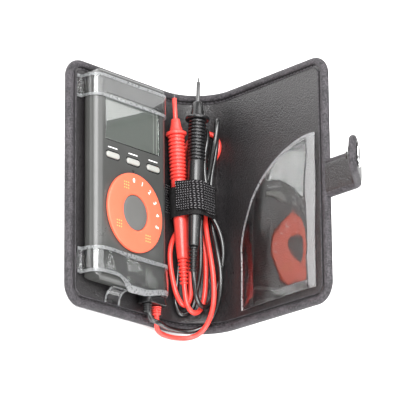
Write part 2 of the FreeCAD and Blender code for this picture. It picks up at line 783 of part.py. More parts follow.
def probe(name, tip, tail, sleeved):
    """One probe along its axis: metal shaft, moulded handle with a finger flange and ribs, ringed relief."""
    way = probe_way(tip, tail)
    pin = turned([(0, needle_point), (needle_length, needle_radius), (needle_length, shaft_radius),
                  (metal_length + shaft_seat, shaft_radius)], tip, way)
    save(name + "_probe_pin", pin)
    if sleeved:
        sleeve = turned([(needle_length, sleeve_radius), (metal_length, sleeve_radius)], tip, way)
        bore = turned([(0, shaft_radius + shaft_fit), (metal_length + over, shaft_radius + shaft_fit)], tip, way)
        save(name + "_probe_sleeve", sleeve.cut(bore))
    profile = [(metal_length, cone_small - cone_lip), (metal_length + cone_lip, cone_small), (flange_start, cone_large),
               (flange_start + flange_edge, flange_radius - flange_edge), (flange_start + 2 * flange_edge, flange_radius),
               (grip_start - 2 * flange_edge, flange_radius), (grip_start, cone_large + cone_lip)]
    pitch = grip_length / grip_ribs
    for i in range(grip_ribs):
        s = grip_start + i * pitch
        profile += [(s + 0.15 * pitch, groove_radius), (s + 0.4 * pitch, rib_radius), (s + 0.75 * pitch, rib_radius),
                    (s + pitch, groove_radius)]
    profile += [(grip_start + grip_length + grip_blend, handle_radius), (handle_stop - grip_blend, handle_end),
                (handle_stop, handle_end - handle_bevel)]
    seat = turned([(0, shaft_radius + shaft_fit), (metal_length + shaft_seat + skin_gap, shaft_radius + shaft_fit)],
                  tip, way)
    save(name + "_probe_handle", turned(profile, tip, way).cut(seat))
    start = handle_stop + relief_gap
    relief = turned(ringed(start, relief_length, relief_rings, relief_large, relief_small, relief_groove), tip, way)
    bore = turned([(start + relief_seat, lead_radius + lead_fit), (start + relief_length + over, lead_radius + lead_fit)],
                  tip, way)
    save(name + "_probe_relief", relief.cut(bore))


# ---- clear bands ----
def clear_band(low, high):
    """Clear strip over the meter, its two feet sewn to the lining; returns the strip."""
    foot_z = cover_thick + band_lift

    def arch(offset):
        half = meter_half + offset
        top = meter_face + offset
        wire = rounded_wire([(-half, -beyond), (half, -beyond), (half, top), (-half, top)],
                            [0, 0, edge_round + offset, edge_round + offset], lambda u, v: Vector(u, low, v))
        return Part.Face(wire).extrude(Vector(0, high - low, 0))
    band = arch(band_gap + band_thick).cut(arch(band_gap)).cut(below(foot_z))
    inside = meter_half + band_gap
    outside = inside + band_thick + band_foot
    for x0, x1 in ((-outside, -inside), (inside, outside)):
        band = band.fuse(block(x0, x1, low, high, foot_z, foot_z + band_thick))
    return band.removeSplitter()


def clear_bands():
    save("top_band", clear_band(top_band_low, top_band_high))
    deep = (low_band_high - low_band_low) * band_cut_share
    dip = disc(band_cut_radius, beyond, band_cut_x, low_band_low + deep - band_cut_radius, meter_back)
    save("lower_band", clear_band(low_band_low, low_band_high).cut(dip))


def bottom_stop():
    """Clear tab sewn to the lower edge and standing up against the meter's lower end."""
    wall = meter_foot - stop_gap - band_thick
    foot_low = -half_height + binding_width + skin_gap
    foot_z = cover_thick + band_lift
    foot = block(stop_left, stop_right, foot_low, wall + band_thick, foot_z, foot_z + band_thick)
    upright = block(stop_left, stop_right, wall, wall + band_thick, foot_z, cover_thick + stop_height)
    save("bottom_stop", foot.fuse(upright).removeSplitter())


# ---- woven strap round the leads ----
def axis_at(tip, tail, y):
    """Centre (x, z) of a straight probe at a given y."""
    k = (y - tip.y) / (tail.y - tip.y)
    return tip.x + (tail.x - tip.x) * k, tip.z + (tail.z - tip.z) * k


def belt(circles, extra):
    """Closed outline round circles (x, z, r), listed counter-clockwise, each grown by extra."""
    edges = []
    n = len(circles)
    touch = []
    for i in range(n):
        x0, z0, r0 = circles[i]
        x1, z1, r1 = circles[(i + 1) % n]
        r0 += extra
        r1 += extra
        gap = math.hypot(x1 - x0, z1 - z0)
        way = math.atan2(z1 - z0, x1 - x0) - math.pi / 2 + math.asin((r1 - r0) / gap) * -1
        touch.append((way, (x0 + r0 * math.cos(way), z0 + r0 * math.sin(way)),
                      (x1 + r1 * math.cos(way), z1 + r1 * math.sin(way))))
    for i in range(n):
        way_in, _, arrive = touch[i - 1]
        way_out, leave, arrive_next = touch[i]
        x, z, r = circles[i]
        r += extra
        turn = (way_out - way_in) % (2 * math.pi)
        middle = way_in + turn / 2
        points = [Vector(arrive[0], 0, arrive[1]), Vector(x + r * math.cos(middle), 0, z + r * math.sin(middle)),
                  Vector(leave[0], 0, leave[1])]
        edges.append(Part.Arc(*points).toShape())
        edges.append(Part.LineSegment(points[2], Vector(arrive_next[0], 0, arrive_next[1])).toShape())
    return Part.Wire(edges)


def strap_circles(y):
    """What the strap runs round at a given y: both probe handles and the outermost strands of lead."""
    rx, rz = axis_at(red_tip, red_tail, y)
    bx, bz = axis_at(black_tip, black_tail, y)
    strands = [(meter_half + x, cover_thick + z, lead_radius + strand_slack)
               for x, z in (lower_strand, outer_strand, upper_strand)]
    return [(rx, rz, handle_radius), *strands, (bx, bz, handle_radius)]


def strap_layer(inside, outside):
    """A layer of tape round everything, as wide as the strap, between two distances from what it holds."""
    solids = []
    for extra in (outside, inside):
        ends = []
        for y in (tape_low, tape_high):
            wire = belt(strap_circles(y), extra)
            wire.translate(Vector(0, y, 0))
            ends.append(wire)
        solids.append(Part.makeLoft(ends, True, True))
    return solids[0].cut(solids[1])


def lead_strap():
    loop_out = tape_slack + tape_thick
    save("lead_strap_loop", strap_layer(tape_slack, loop_out))
    middle = (tape_low + tape_high) / 2
    rx, _ = axis_at(red_tip, red_tail, middle)
    _, bz = axis_at(black_tip, black_tail, middle)
    keep = block(rx - flap_past_red, flap_right, tape_low, tape_high, bz - flap_drop, beyond)
    save("lead_strap_flap", strap_layer(loop_out + skin_gap, loop_out + skin_gap + tape_thick).common(keep))
    foot_z = cover_thick + band_lift
    start = meter_half + base_start
    save("lead_strap_base", block(start, start + base_wide, tape_low, tape_high, foot_z, foot_z + tape_thick))


# ---- leads ----
# Control points of the two leads, from the boot to the probe: beyond the meter's right side, from its foot
# and above the lining.
BLACK_ROUTE = [
    (-11.25, -0.1, 5.25), (-11.25, -11.8, 5.25), (-5.25, -13.6, 7.9), (5.75, -13.8, 4.2), (16.25, -13.3, 3.6),
    (22.35, -12.8, 6.4), (26.35, -10.4, 11.2), (27.75, -4.4, 16.4), (27.45, 4.6, 20.4), (26.75, 15.6, 21.8),
    (26.35, 26.6, 20), (26.85, 37.6, 16.8), (26.95, 47.6, 15), (27.05, 67.6, 15.2), (29.05, 79.6, 18.2),
    (29.15, 90.6, 19.4), (27.55, 98.2, 20.2), (22.15, 99.2, 22.6), (20.15, 92.1, 23.4), (22.05, 79.6, 21.2),
    (24.45, 67.6, 15.9), (22.75, 57.6, 13.8), (21.15, 47.6, 13.8), (21.55, 39.6, 12.6), (22.55, 29.6, 12),
    (23.35, 18.6, 11), (23.75, 8.6, 7.8), (23.55, 0, 6), (20.15, -4, 4.2), (15.95, -4.2, 2.3),
    (13.75, 2.6, 1.8), (15.75, 13.6, 2.1), (16.85, 25.6, 2.5), (19.35, 38.6, 5.5), (17.45, 47.6, 9.4),
    (17.55, 67.6, 9.4), (20.05, 78.6, 8), (23.15, 87.6, 7.6), (24.75, 93.6, 9.8), (24.55, 93.8, 15),
    (23.15, 87, 16.8), (21.85, 78.6, 15.6), (21.05, 67.6, 16), (22.15, 57.6, 17.6), (24.05, 47.6, 17.4),
    (27.95, 38.6, 20.4), (29.95, 27.6, 21.4), (29.95, 13.6, 18), (28.15, 2, 14.6), (22.35, -2.2, 13.6),
    (15.35, 1.2, 14.8)]
RED_ROUTE = [
    (-4.25, -0.1, 5.25), (-4.25, -11.8, 5.25), (-0.25, -16.4, 2), (9.75, -17.3, 1.7), (19.75, -16.8, 4.8),
    (23.35, -14.6, 10.4), (24.35, -8.4, 15.8), (24.45, 0.6, 18.9), (23.95, 12.6, 19.3), (23.75, 25.6, 17.4),
    (24.35, 37.6, 14.4), (25.35, 47.6, 12.6), (25.35, 67.6, 12.8), (27.55, 79.6, 14.2), (27.75, 91.6, 14.2),
    (26.55, 100, 11.2), (22.15, 100.4, 6.2), (18.95, 92.6, 4.8), (17.65, 80.6, 4.6), (17.95, 67.6, 5.4),
    (18.05, 47.6, 5.4), (17.05, 41.4, 2.2), (13.15, 35.6, 1.6), (10.15, 28.6, 1.7), (10.15, 20.6, 2),
    (11.25, 12.1, 2.9), (11.95, 5, 4.3), (14.95, 0.4, 5.3), (18.95, 0, 5.6), (21.35, 5.6, 6.2),
    (20.75, 15.6, 6.2),
    (21.05, 25.6, 6), (22.15, 36.6, 7.8), (20.65, 47.6, 8.4), (20.55, 65.6, 8), (22.75, 73.1, 6.8),
    (24.75, 78, 7.4), (24.75, 78, 11.8), (23.35, 73.1, 12.4), (21.65, 65.6, 11.1), (21.65, 47.6, 11),
    (23.75, 41.6, 9.7), (26.65, 32.6, 10.8), (27.15, 22.6, 11.6), (26.95, 9.6, 11.2), (25.35, 0, 10.6),
    (20.75, -4.6, 10), (16.15, -3, 9)]


def lead_path(path):
    """Straight runs joined by tangent arcs; returns the edges, the least radius and the length."""
    edges = []
    least = math.inf
    start = path[0]
    for i in range(1, len(path) - 1):
        before = path[i] - path[i - 1]
        after = path[i + 1] - path[i]
        turn = before.getAngle(after)
        cut = 0.45 * min(before.Length, after.Length)
        radius = cut / math.tan(turn / 2)
        least = min(least, radius)
        a = path[i] - before.normalize() * cut
        b = path[i] + after.normalize() * cut
        inward = (b - path[i]).normalize() + (a - path[i]).normalize()
        m = path[i] + inward.normalize() * (radius / math.cos(turn / 2) - radius)
        edges.append(Part.LineSegment(start, a).toShape())
        edges.append(Part.Arc(a, m, b).toShape())
        start = b
    edges.append(Part.LineSegment(start, path[-1]).toShape())
    return edges, least


def lead(name, route, tip, tail):
    """One lead, from inside the meter's boot to its seat inside the probe's relief."""
    way = probe_way(tip, tail)
    points = [beside(place, meter_foot) for place in route]
    points += [tip + way * (handle_stop + relief_length + lead_straight),
               tip + way * (handle_stop + relief_gap + relief_seat)]
    edges, least = lead_path(points)
    wire = Part.Wire(edges)
    ring = Part.Wire([Part.makeCircle(lead_radius, points[0], -Y)])
    tube = wire.makePipeShell([ring], True, False)
    plain = math.pi * lead_radius ** 2 * wire.Length
    print("%s: %.1f mm long, least radius %.2f mm, volume ratio %.4f" %
          (name, wire.Length, least, tube.Volume / plain))
    save(name, tube)


def main():
    wallet()
    document_pocket()
    closing_strap()
    meter_case()
    buttons()
    range_switch()
    meter_inside()
    lead_boot()
    probe("red", red_tip, red_tail, True)
    probe("black", black_tip, black_tail, False)
    lead("black_lead", BLACK_ROUTE, black_tip, black_tail)
    lead("red_lead", RED_ROUTE, red_tip, red_tail)
    clear_bands()
    bottom_stop()
    lead_strap()


main()
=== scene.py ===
import json
import math

import bpy
import bmesh
from mathutils import Matrix, Vector, noise


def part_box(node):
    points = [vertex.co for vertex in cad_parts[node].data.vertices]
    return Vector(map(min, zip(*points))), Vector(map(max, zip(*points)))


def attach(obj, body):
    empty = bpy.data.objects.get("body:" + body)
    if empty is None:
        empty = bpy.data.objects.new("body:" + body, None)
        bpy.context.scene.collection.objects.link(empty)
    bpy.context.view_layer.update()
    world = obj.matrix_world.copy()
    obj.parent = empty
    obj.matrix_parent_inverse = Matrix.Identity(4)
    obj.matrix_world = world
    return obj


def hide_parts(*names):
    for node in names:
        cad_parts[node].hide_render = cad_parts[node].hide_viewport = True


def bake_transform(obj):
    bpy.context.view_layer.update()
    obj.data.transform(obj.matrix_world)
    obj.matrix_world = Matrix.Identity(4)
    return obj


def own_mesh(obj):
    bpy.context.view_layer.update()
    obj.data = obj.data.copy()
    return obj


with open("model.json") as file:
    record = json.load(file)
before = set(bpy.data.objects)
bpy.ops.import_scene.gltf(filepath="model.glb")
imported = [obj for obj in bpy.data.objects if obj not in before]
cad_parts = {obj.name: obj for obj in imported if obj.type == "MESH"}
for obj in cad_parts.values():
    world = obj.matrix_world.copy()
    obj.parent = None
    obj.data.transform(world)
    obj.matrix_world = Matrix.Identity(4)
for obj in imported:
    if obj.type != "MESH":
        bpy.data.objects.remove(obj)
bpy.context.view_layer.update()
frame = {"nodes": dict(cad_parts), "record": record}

# Pocket component tester strapped into an open wallet. Metres, in the frame of the CAD: +Z up out of the left
# cover, +Y along the spine, +X from the left cover's outer edge to the spine. Sizes below are in millimetres.
MM = 0.001
record = frame["record"]


def link(name, data):
    """Adds an object to the scene."""
    made = bpy.data.objects.new(name, data)
    bpy.context.scene.collection.objects.link(made)
    return made


# ---- camera ----
def add_camera():
    """Looks down across the left cover from its outer edge, with the spine upright in the view."""
    azimuth, elevation, roll = (math.radians(a) for a in (-68.6, 38.129, 75.886))
    aim = Vector((39.36, 1.12, 23.56)) * MM
    distance = 1.56685
    back = Vector((math.sin(azimuth) * math.cos(elevation), -math.cos(azimuth) * math.cos(elevation),
                   math.sin(elevation)))
    level = Vector((math.cos(azimuth), math.sin(azimuth), 0))
    rise = back.cross(level)
    right = level * math.cos(roll) + rise * math.sin(roll)
    up = rise * math.cos(roll) - level * math.sin(roll)
    data = bpy.data.cameras.new("camera")
    data.sensor_width = 36
    data.lens = 278.25
    data.clip_end = 20
    camera = link("camera", data)
    turn = Matrix((right, up, back)).transposed()
    camera.matrix_world = Matrix.Translation(aim + back * distance) @ turn.to_4x4()
    bpy.context.scene.camera = camera


add_camera()


# ---- small tools ----
def span(solid):
    """Low and high corner of a solid, in millimetres."""
    return [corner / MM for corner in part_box(solid)]


def mesh_piece(name, verts, faces, finishes, marks=None, uv=None):
    """A mesh object from points in millimetres.

    marks gives each face its finish and uv each vertex its place on the tape.
    """
    mesh = bpy.data.meshes.new(name)
    mesh.from_pydata([Vector(v) * MM for v in verts], [], faces)
    for finish in finishes:
        mesh.materials.append(finish)
    mesh.polygons.foreach_set("use_smooth", [True] * len(mesh.polygons))
    if marks:
        mesh.polygons.foreach_set("material_index", marks)
    if uv:
        layer = mesh.uv_layers.new(name="tape")
        for loop in mesh.loops:
            layer.data[loop.index].uv = uv[loop.vertex_index]
    mesh.validate()
    mesh.update()
    mesh.set_sharp_from_angle(angle=math.radians(42))
    return link(name, mesh)


def strip_faces(rows, across, round_rows=False, round_across=False, start=0):
    """Quads of a grid of points stored row by row."""
    faces = []
    for i in range(rows if round_rows else rows - 1):
        for j in range(across if round_across else across - 1):
            a, b = i * across, ((i + 1) % rows) * across
            k = (j + 1) % across
            faces.append([start + a + j, start + a + k, start + b + k, start + b + j])
    return faces


def closed(name, verts, faces, finishes, marks=None, uv=None, merge=True):
    """A closed mesh piece, its faces outwards; merge first joins points that lie on each other."""
    piece = mesh_piece(name, verts, faces, finishes, marks, uv)
    bm = bmesh.new()
    bm.from_mesh(piece.data)
    if merge:
        bmesh.ops.remove_doubles(bm, verts=bm.verts, dist=1e-7)
        bmesh.ops.dissolve_degenerate(bm, edges=bm.edges, dist=1e-8)
    bmesh.ops.recalc_face_normals(bm, faces=bm.faces)
    bm.to_mesh(piece.data)
    bm.free()
    return piece


def meshed(name, guide):
    """A mesh piece in place of a curve or a text."""
    bpy.context.view_layer.update()
    piece = link(name, bpy.data.meshes.new_from_object(guide))
    bpy.data.objects.remove(guide)
    return piece


def lathe(name, profile, start, way, finish, steps=56):
    """Turned piece: profile is (distance along way, radius) pairs in millimetres from start."""
    start, way = Vector(start), Vector(way).normalized()
    side = way.cross(Vector((0, 0, 1)) if abs(way.z) < 0.9 else Vector((1, 0, 0))).normalized()
    other = way.cross(side)
    verts = []
    for along, radius in profile:
        for k in range(steps):
            a = 2 * math.pi * k / steps
            verts.append(start + way * along + (side * math.cos(a) + other * math.sin(a)) * max(radius, 1e-4))
    return closed(name, verts, strip_faces(len(profile), steps, round_across=True), [finish])


def tell(piece, slot, nodes):
    """Hides the solids that a piece stands for; slot is not used."""
    if nodes:
        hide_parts(*nodes)
    return piece


def put(piece, body, slot, *nodes):
    """Rides a finished piece on its body."""
    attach(piece, body)
    return tell(piece, slot, nodes)


def outline(x0, x1, y0, y1, r, step, corner_steps):
    """Closed outline of a rounded rectangle, as functions of how far inside it a point lies."""
    points = []

    def straight(ax, ay, bx, by, nx, ny):
        n = max(1, round(math.hypot(bx - ax, by - ay) / step))
        for i in range(n):
            x, y = ax + (bx - ax) * i / n, ay + (by - ay) * i / n
            points.append(lambda d, x=x, y=y: (x + nx * d, y + ny * d))

    def corner(cx, cy, first):
        sx = -1 if cx > (x0 + x1) / 2 else 1
        sy = -1 if cy > (y0 + y1) / 2 else 1
        for i in range(corner_steps):
            a = math.radians(first + 90 * i / corner_steps)

            def place(d, a=a):
                past = max(d - r, 0)
                left = max(r - d, 0)
                return cx + left * math.cos(a) + past * sx, cy + left * math.sin(a) + past * sy
            points.append(place)
    straight(x0 + r, y0, x1 - r, y0, 0, 1)
    corner(x1 - r, y0 + r, -90)
    straight(x1, y0 + r, x1, y1 - r, -1, 0)
    corner(x1 - r, y1 - r, 0)
    straight(x1 - r, y1, x0 + r, y1, 0, -1)
    corner(x0 + r, y1 - r, 90)
    straight(x0, y1 - r, x0, y0 + r, 1, 0)
    corner(x0 + r, y0 + r, 180)
    return points


def ring_of(points, profile):
    """Points and quads of a profile of (inset, height) pairs carried round an outline."""
    verts = [(*place(d), h) for place in points for d, h in profile]
    return verts, strip_faces(len(points), len(profile), round_rows=True)


def capsule(middle, way, half, radius, rise):
    """A stitch: a short six-sided bead along way, its ends tucked down along rise."""
    side = way.cross(rise).normalized()
    verts = []
    for along, r, lift in ((-1, 0.35, -0.7), (-0.75, 0.9, 0), (0, 1, 0.25), (0.75, 0.9, 0), (1, 0.35, -0.7)):
        for k in range(6):
            a = math.pi * k / 3
            round_it = side * math.cos(a) + rise * (math.sin(a) + lift)
            verts.append(middle + way * along * half + round_it * radius * r)
    faces = strip_faces(5, 6, round_across=True)
    faces += [list(range(5, -1, -1)), list(range(24, 30))]
    return verts, faces


# ---- finishes ----
def group(name, *sizes):
    """A new pattern: its node tree, its inputs, and what hands over its height and shade."""
    tree = bpy.data.node_groups.new(name, "ShaderNodeTree")
    for label, value in sizes:
        tree.interface.new_socket(label, in_out="INPUT", socket_type="NodeSocketFloat").default_value = value
    for label in ("Height", "Shade"):
        tree.interface.new_socket(label, in_out="OUTPUT", socket_type="NodeSocketFloat")
    made = tree.nodes.new("NodeGroupOutput")

    def give(height, shade):
        tree.links.new(height, made.inputs["Height"])
        tree.links.new(shade, made.inputs["Shade"])
        return tree
    return tree, tree.nodes.new("NodeGroupInput").outputs, give


def node(tree, kind, links=(), **settings):
    """Adds a node; settings are its own, links pairs of (input, socket or value)."""
    made = tree.nodes.new("ShaderNode" + kind)
    for key, value in settings.items():
        setattr(made, key, value)
    for key, value in links:
        if isinstance(value, bpy.types.NodeSocket):
            tree.links.new(value, made.inputs[key])
        else:
            made.inputs[key].default_value = value
    return made


def maths(tree, operation, a, b=0.0, c=None):
    links = [(0, a), (1, b)] + ([(2, c)] if c is not None else [])
    return node(tree, "Math", links, operation=operation).outputs[0]


def speckle(tree, place, scale, detail, roughness=0.5):
    """A soft noise between 0 and 1."""
    links = [("Vector", place), ("Scale", scale), ("Detail", detail), ("Roughness", roughness)]
    return node(tree, "TexNoise", links).outputs["Fac"]


def own_space(tree):
    """Place in the object's own space."""
    return node(tree, "TexCoord").outputs["Object"]


def pebble_grain():
    """Pebbled leatherette: soft cells with fine creases. Size is one pebble in metres."""
    tree, given, give = group("pebble grain", ("Size", 0.0007), ("Crease", 0.6))
    place = own_space(tree)
    scale = maths(tree, "DIVIDE", 1.0, given["Size"])
    wander = node(tree, "TexNoise", [("Vector", place), ("Scale", 900.0), ("Detail", 2.0)]).outputs["Color"]
    bend = [("Fac", 0.0006), ("Color1", place), ("Color2", wander)]
    bent = node(tree, "MixRGB", bend, blend_type="ADD").outputs[0]
    cells = node(tree, "TexVoronoi", [("Vector", bent), ("Scale", scale)], feature="SMOOTH_F1")
    broad = speckle(tree, place, 45.0, 3.0)
    crease = maths(tree, "MULTIPLY", cells.outputs["Distance"], given["Crease"])
    dome = maths(tree, "SUBTRACT", 1.0, crease)
    shade = maths(tree, "MULTIPLY", dome, maths(tree, "MULTIPLY_ADD", broad, 0.8, 0.6))
    return give(maths(tree, "MULTIPLY_ADD", broad, 0.35, dome), shade)


def felt_nap():
    """Short nap of a soft tape: fine fibres over slow patches where it is brushed the other way."""
    tree, given, give = group("felt nap", ("Fibre", 1500.0), ("Patch", 220.0))
    place = own_space(tree)
    fibres = speckle(tree, place, given["Fibre"], 4.0, 0.7)
    patch = speckle(tree, place, given["Patch"], 2.0)
    return give(fibres, maths(tree, "MULTIPLY", fibres, maths(tree, "MULTIPLY_ADD", patch, 0.5, 0.75)))


def hook_weave():
    """Woven tape, in its own millimetres: rows of bars that lean one way and then the other; its shade,
    highest on the bar tops, serves as painted glints.
    """
    tree, given, give = group("hook weave", ("Pitch", 1.1))
    place = node(tree, "UVMap", uv_map="tape").outputs[0]
    split = node(tree, "SeparateXYZ", [(0, place)]).outputs
    along = maths(tree, "DIVIDE", split[0], given["Pitch"])
    over = maths(tree, "DIVIDE", split[1], given["Pitch"])
    lean = maths(tree, "MULTIPLY", maths(tree, "PINGPONG", over, 1.0), 0.8)
    bars = maths(tree, "SINE", maths(tree, "MULTIPLY", maths(tree, "ADD", along, lean), 6.283))
    rows = maths(tree, "ABSOLUTE", maths(tree, "SINE", maths(tree, "MULTIPLY", over, 3.1416)))
    height = maths(tree, "MULTIPLY", rows, maths(tree, "MULTIPLY_ADD", bars, 0.5, 0.5))
    # The shade is highest on the bar tops and lightens them in the tape's colour: painted glints.
    return give(height, maths(tree, "MULTIPLY", height, speckle(tree, place, 3.0, 3.0)))


def moulded_skin():
    """Fine moulded texture with faint flow and handling marks."""
    tree, given, give = group("moulded skin", ("Fine", 2200.0), ("Marks", 60.0))
    place = own_space(tree)
    fine = speckle(tree, place, given["Fine"], 2.0)
    marks = speckle(tree, place, given["Marks"], 5.0, 0.6)
    return give(fine, maths(tree, "MULTIPLY_ADD", fine, 0.25, maths(tree, "MULTIPLY", marks, 0.75)))


def sheet_ripple():
    """Slow ripples of soft clear sheet, with fine scuffs."""
    tree, given, give = group("sheet ripple", ("Ripple", 70.0), ("Scuff", 900.0))
    place = own_space(tree)
    return give(speckle(tree, place, given["Ripple"], 1.0), speckle(tree, place, given["Scuff"], 6.0))


GRAIN, NAP, WEAVE, SKIN, RIPPLE = pebble_grain(), felt_nap(), hook_weave(), moulded_skin(), sheet_ripple()


def finish(name, light, dark, rough, pattern, values=(), bump=0.2, depth=0.0002, limits=(0.3, 0.7), **shader):
    """A material: two tones and two roughnesses mixed by the pattern's shade, its height as relief."""
    material = bpy.data.materials.new(name)
    material.use_nodes = True
    tree = material.node_tree
    surface = tree.nodes["Principled BSDF"]
    skin = node(tree, "Group", node_tree=pattern)
    for key, value in values:
        skin.inputs[key].default_value = value
    spread = [("Value", skin.outputs["Shade"]), ("From Min", limits[0]), ("From Max", limits[1])]
    share = node(tree, "MapRange", spread)
    tone = node(tree, "MixRGB", [("Fac", share.outputs[0]), ("Color1", (*dark, 1)), ("Color2", (*light, 1))])
    tree.links.new(tone.outputs[0], surface.inputs["Base Color"])
    gloss = node(tree, "MapRange", spread + [("To Min", rough[0]), ("To Max", rough[1])])
    tree.links.new(gloss.outputs[0], surface.inputs["Roughness"])
    relief = node(tree, "Bump", [("Strength", bump), ("Distance", depth), ("Height", skin.outputs["Height"])])
    tree.links.new(relief.outputs[0], surface.inputs["Normal"])
    for key, value in shader.items():
        surface.inputs[key.replace("_", " ")].default_value = value
    return material


LEATHER = finish("black leatherette", (0.024, 0.022, 0.023), (0.004, 0.0035, 0.004), (0.26, 0.4), GRAIN,
                 [("Size", 0.0007), ("Crease", 1.0)], bump=0.75, depth=0.0003, limits=(0.1, 0.9))
BINDING = finish("edge tape", (0.07, 0.062, 0.07), (0.003, 0.003, 0.004), (0.5, 0.75), NAP,
                 [("Fibre", 1100.0)], bump=0.9, depth=0.0004, limits=(0.4, 0.64), Specular_IOR_Level=0.4)
# Darker finish for the faces of the stitch groove: painted shade in the groove, darker than the tape itself.
GROOVE_SHADE = finish("painted groove shade", (0.012, 0.01, 0.012), (0.003, 0.003, 0.003), (0.8, 0.9), NAP,
              limits=(0.35, 0.65))
THREAD = finish("sewing thread", (0.1, 0.09, 0.1), (0.02, 0.018, 0.02), (0.6, 0.7), NAP, limits=(0.35, 0.65))
CASE = finish("satin case grey", (0.05, 0.051, 0.049), (0.038, 0.039, 0.037), (0.31, 0.27), SKIN, bump=0.12,
              depth=0.00005)
CASE_BACK = finish("case back grey", (0.05, 0.05, 0.048), (0.04, 0.04, 0.038), (0.45, 0.38), SKIN, bump=0.12,
                   depth=0.00005)
HUB = finish("hub grey", (0.1, 0.099, 0.095), (0.085, 0.084, 0.08), (0.55, 0.5), SKIN, bump=0.1,
             depth=0.00005)
ORANGE = finish("orange dial", (0.8, 0.13, 0.07), (0.74, 0.11, 0.055), (0.46, 0.4), SKIN, bump=0.06,
                depth=0.00004)
GRIP_DOTS = finish("raised grip dots", (0.9, 0.36, 0.1), (0.85, 0.3, 0.08), (0.45, 0.5), SKIN)
PRINT = finish("white print", (0.85, 0.85, 0.84), (0.78, 0.78, 0.77), (0.5, 0.55), SKIN, bump=0.02)
DARK_PRINT = finish("dark print", (0.012, 0.012, 0.012), (0.008, 0.008, 0.008), (0.5, 0.55), SKIN)
BUTTON = finish("pale silicone", (0.33, 0.33, 0.31), (0.28, 0.28, 0.26), (0.5, 0.42), SKIN, bump=0.08,
                depth=0.00005, Subsurface_Weight=0.05, Subsurface_Scale=0.001)
LCD = finish("reflective display", (0.16, 0.18, 0.16), (0.12, 0.137, 0.124), (0.3, 0.36), SKIN,
             [("Marks", 25.0)], bump=0.02)
LCD_LINE = finish("display frame line", (0.62, 0.64, 0.58), (0.5, 0.52, 0.47), (0.3, 0.4), SKIN)
BLACK_MOULD = finish("black moulding", (0.012, 0.012, 0.0125), (0.008, 0.008, 0.0085), (0.28, 0.22), SKIN,
                     bump=0.08, depth=0.00005, Specular_IOR_Level=0.6)
BLACK_JACKET = finish("black lead jacket", (0.009, 0.009, 0.0095), (0.005, 0.005, 0.005), (0.22, 0.15),
                      SKIN, bump=0.05, depth=0.00004, Specular_IOR_Level=0.8)
RED_MOULD = finish("red moulding", (0.8, 0.07, 0.055), (0.7, 0.05, 0.04), (0.3, 0.24), SKIN, bump=0.06,
                   depth=0.00005, Subsurface_Weight=0.08, Subsurface_Scale=0.002)
RED_JACKET = finish("red lead jacket", (0.82, 0.06, 0.045), (0.74, 0.045, 0.035), (0.34, 0.24), SKIN,
                    bump=0.05, depth=0.00004, Subsurface_Weight=0.08, Subsurface_Scale=0.002)
STEEL = finish("plated steel", (0.13, 0.13, 0.13), (0.08, 0.08, 0.08), (0.36, 0.28), SKIN, bump=0.05,
               depth=0.00003, Metallic=1.0)
CHROME = finish("polished cap", (0.86, 0.86, 0.86), (0.8, 0.8, 0.8), (0.1, 0.06), SKIN,
                [("Marks", 200.0)], bump=0.02, depth=0.00003, Metallic=1.0)
BRASS = finish("spring brass", (0.78, 0.55, 0.24), (0.6, 0.4, 0.16), (0.35, 0.28), SKIN, bump=0.05,
               Metallic=1.0)
BOARD = finish("green board", (0.02, 0.16, 0.06), (0.015, 0.1, 0.04), (0.35, 0.3), SKIN, [("Marks", 300.0)])
# Pale tone on the tops of the woven bars: painted glints on black tape; the weave's relief is real bump.
TAPE_WITH_PAINTED_GLINTS = finish("woven hook tape with painted glints", (0.3, 0.29, 0.3), (0.003, 0.003, 0.0035), (0.75, 0.5), WEAVE,
              [("Pitch", 1.3)], bump=1.0, depth=0.0006, limits=(0.24, 0.6), Specular_IOR_Level=0.15)
TAPE_BACK = finish("plain tape back", (0.02, 0.019, 0.02), (0.003, 0.003, 0.003), (0.7, 0.8), NAP, bump=0.6,
                   depth=0.0003, limits=(0.4, 0.65), Specular_IOR_Level=0.2)
CLEAR = finish("clear soft sheet", (1.0, 1.0, 1.0), (0.97, 0.975, 0.98), (0.03, 0.06), RIPPLE, bump=0.12,
               depth=0.0015, Transmission_Weight=1.0, IOR=1.8)
BAND_FILM = finish("clear band film", (1.0, 1.0, 1.0), (0.97, 0.975, 0.98), (0.04, 0.08), RIPPLE, bump=0.12,
                   depth=0.0015, Transmission_Weight=1.0, IOR=1.42)
LENS = finish("display lens", (1.0, 1.0, 1.0), (0.97, 0.98, 0.97), (0.01, 0.02), RIPPLE, bump=0.004,
              depth=0.0005, Transmission_Weight=1.0, IOR=1.75)
WELD = finish("welded sheet edge", (0.7, 0.71, 0.72), (0.5, 0.51, 0.52), (0.26, 0.4), RIPPLE,
              [("Ripple", 600.0)], bump=0.12, depth=0.0001, limits=(0.4, 0.6), Transmission_Weight=0.86,
              IOR=1.42)

SLOT_FINISH = {"leatherette": LEATHER, "binding": BINDING, "clear_sheet": CLEAR, "case_grey": CASE,
               "case_back": CASE_BACK, "hub_grey": HUB, "orange": ORANGE, "button_grey": BUTTON,
               "lens": LENS, "lcd": LCD, "board_green": BOARD, "black_plastic": BLACK_MOULD,
               "black_rubber": BLACK_MOULD, "red_rubber": RED_MOULD, "red_jacket": RED_JACKET,
               "steel": STEEL, "chrome": CHROME, "brass": BRASS, "woven_tape": TAPE_WITH_PAINTED_GLINTS}


def dress_solids():
    """Gives every solid of the frame the finish of its slot."""
    for part in record["subparts"]:
        solid = frame["nodes"][part["node"]]
        solid.data.materials.clear()
        solid.data.materials.append(SLOT_FINISH[part["material_slot"]])


dress_solids()

# ---- places taken from the solids ----
case_low, case_high = span("meter_front_case")
METER_SIDE, METER_FOOT, METER_HEAD, METER_FACE = case_high.x, case_low.y, case_high.y, case_high.z
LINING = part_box("left_cover_panel")[1].z / MM
METER_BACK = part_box("meter_rear_case")[0].z / MM


def beside(place, y_from):
    """A place given beyond the meter's right side, from a Y and above the lining."""
    return Vector((METER_SIDE + place[0], y_from + place[1], LINING + place[2]))


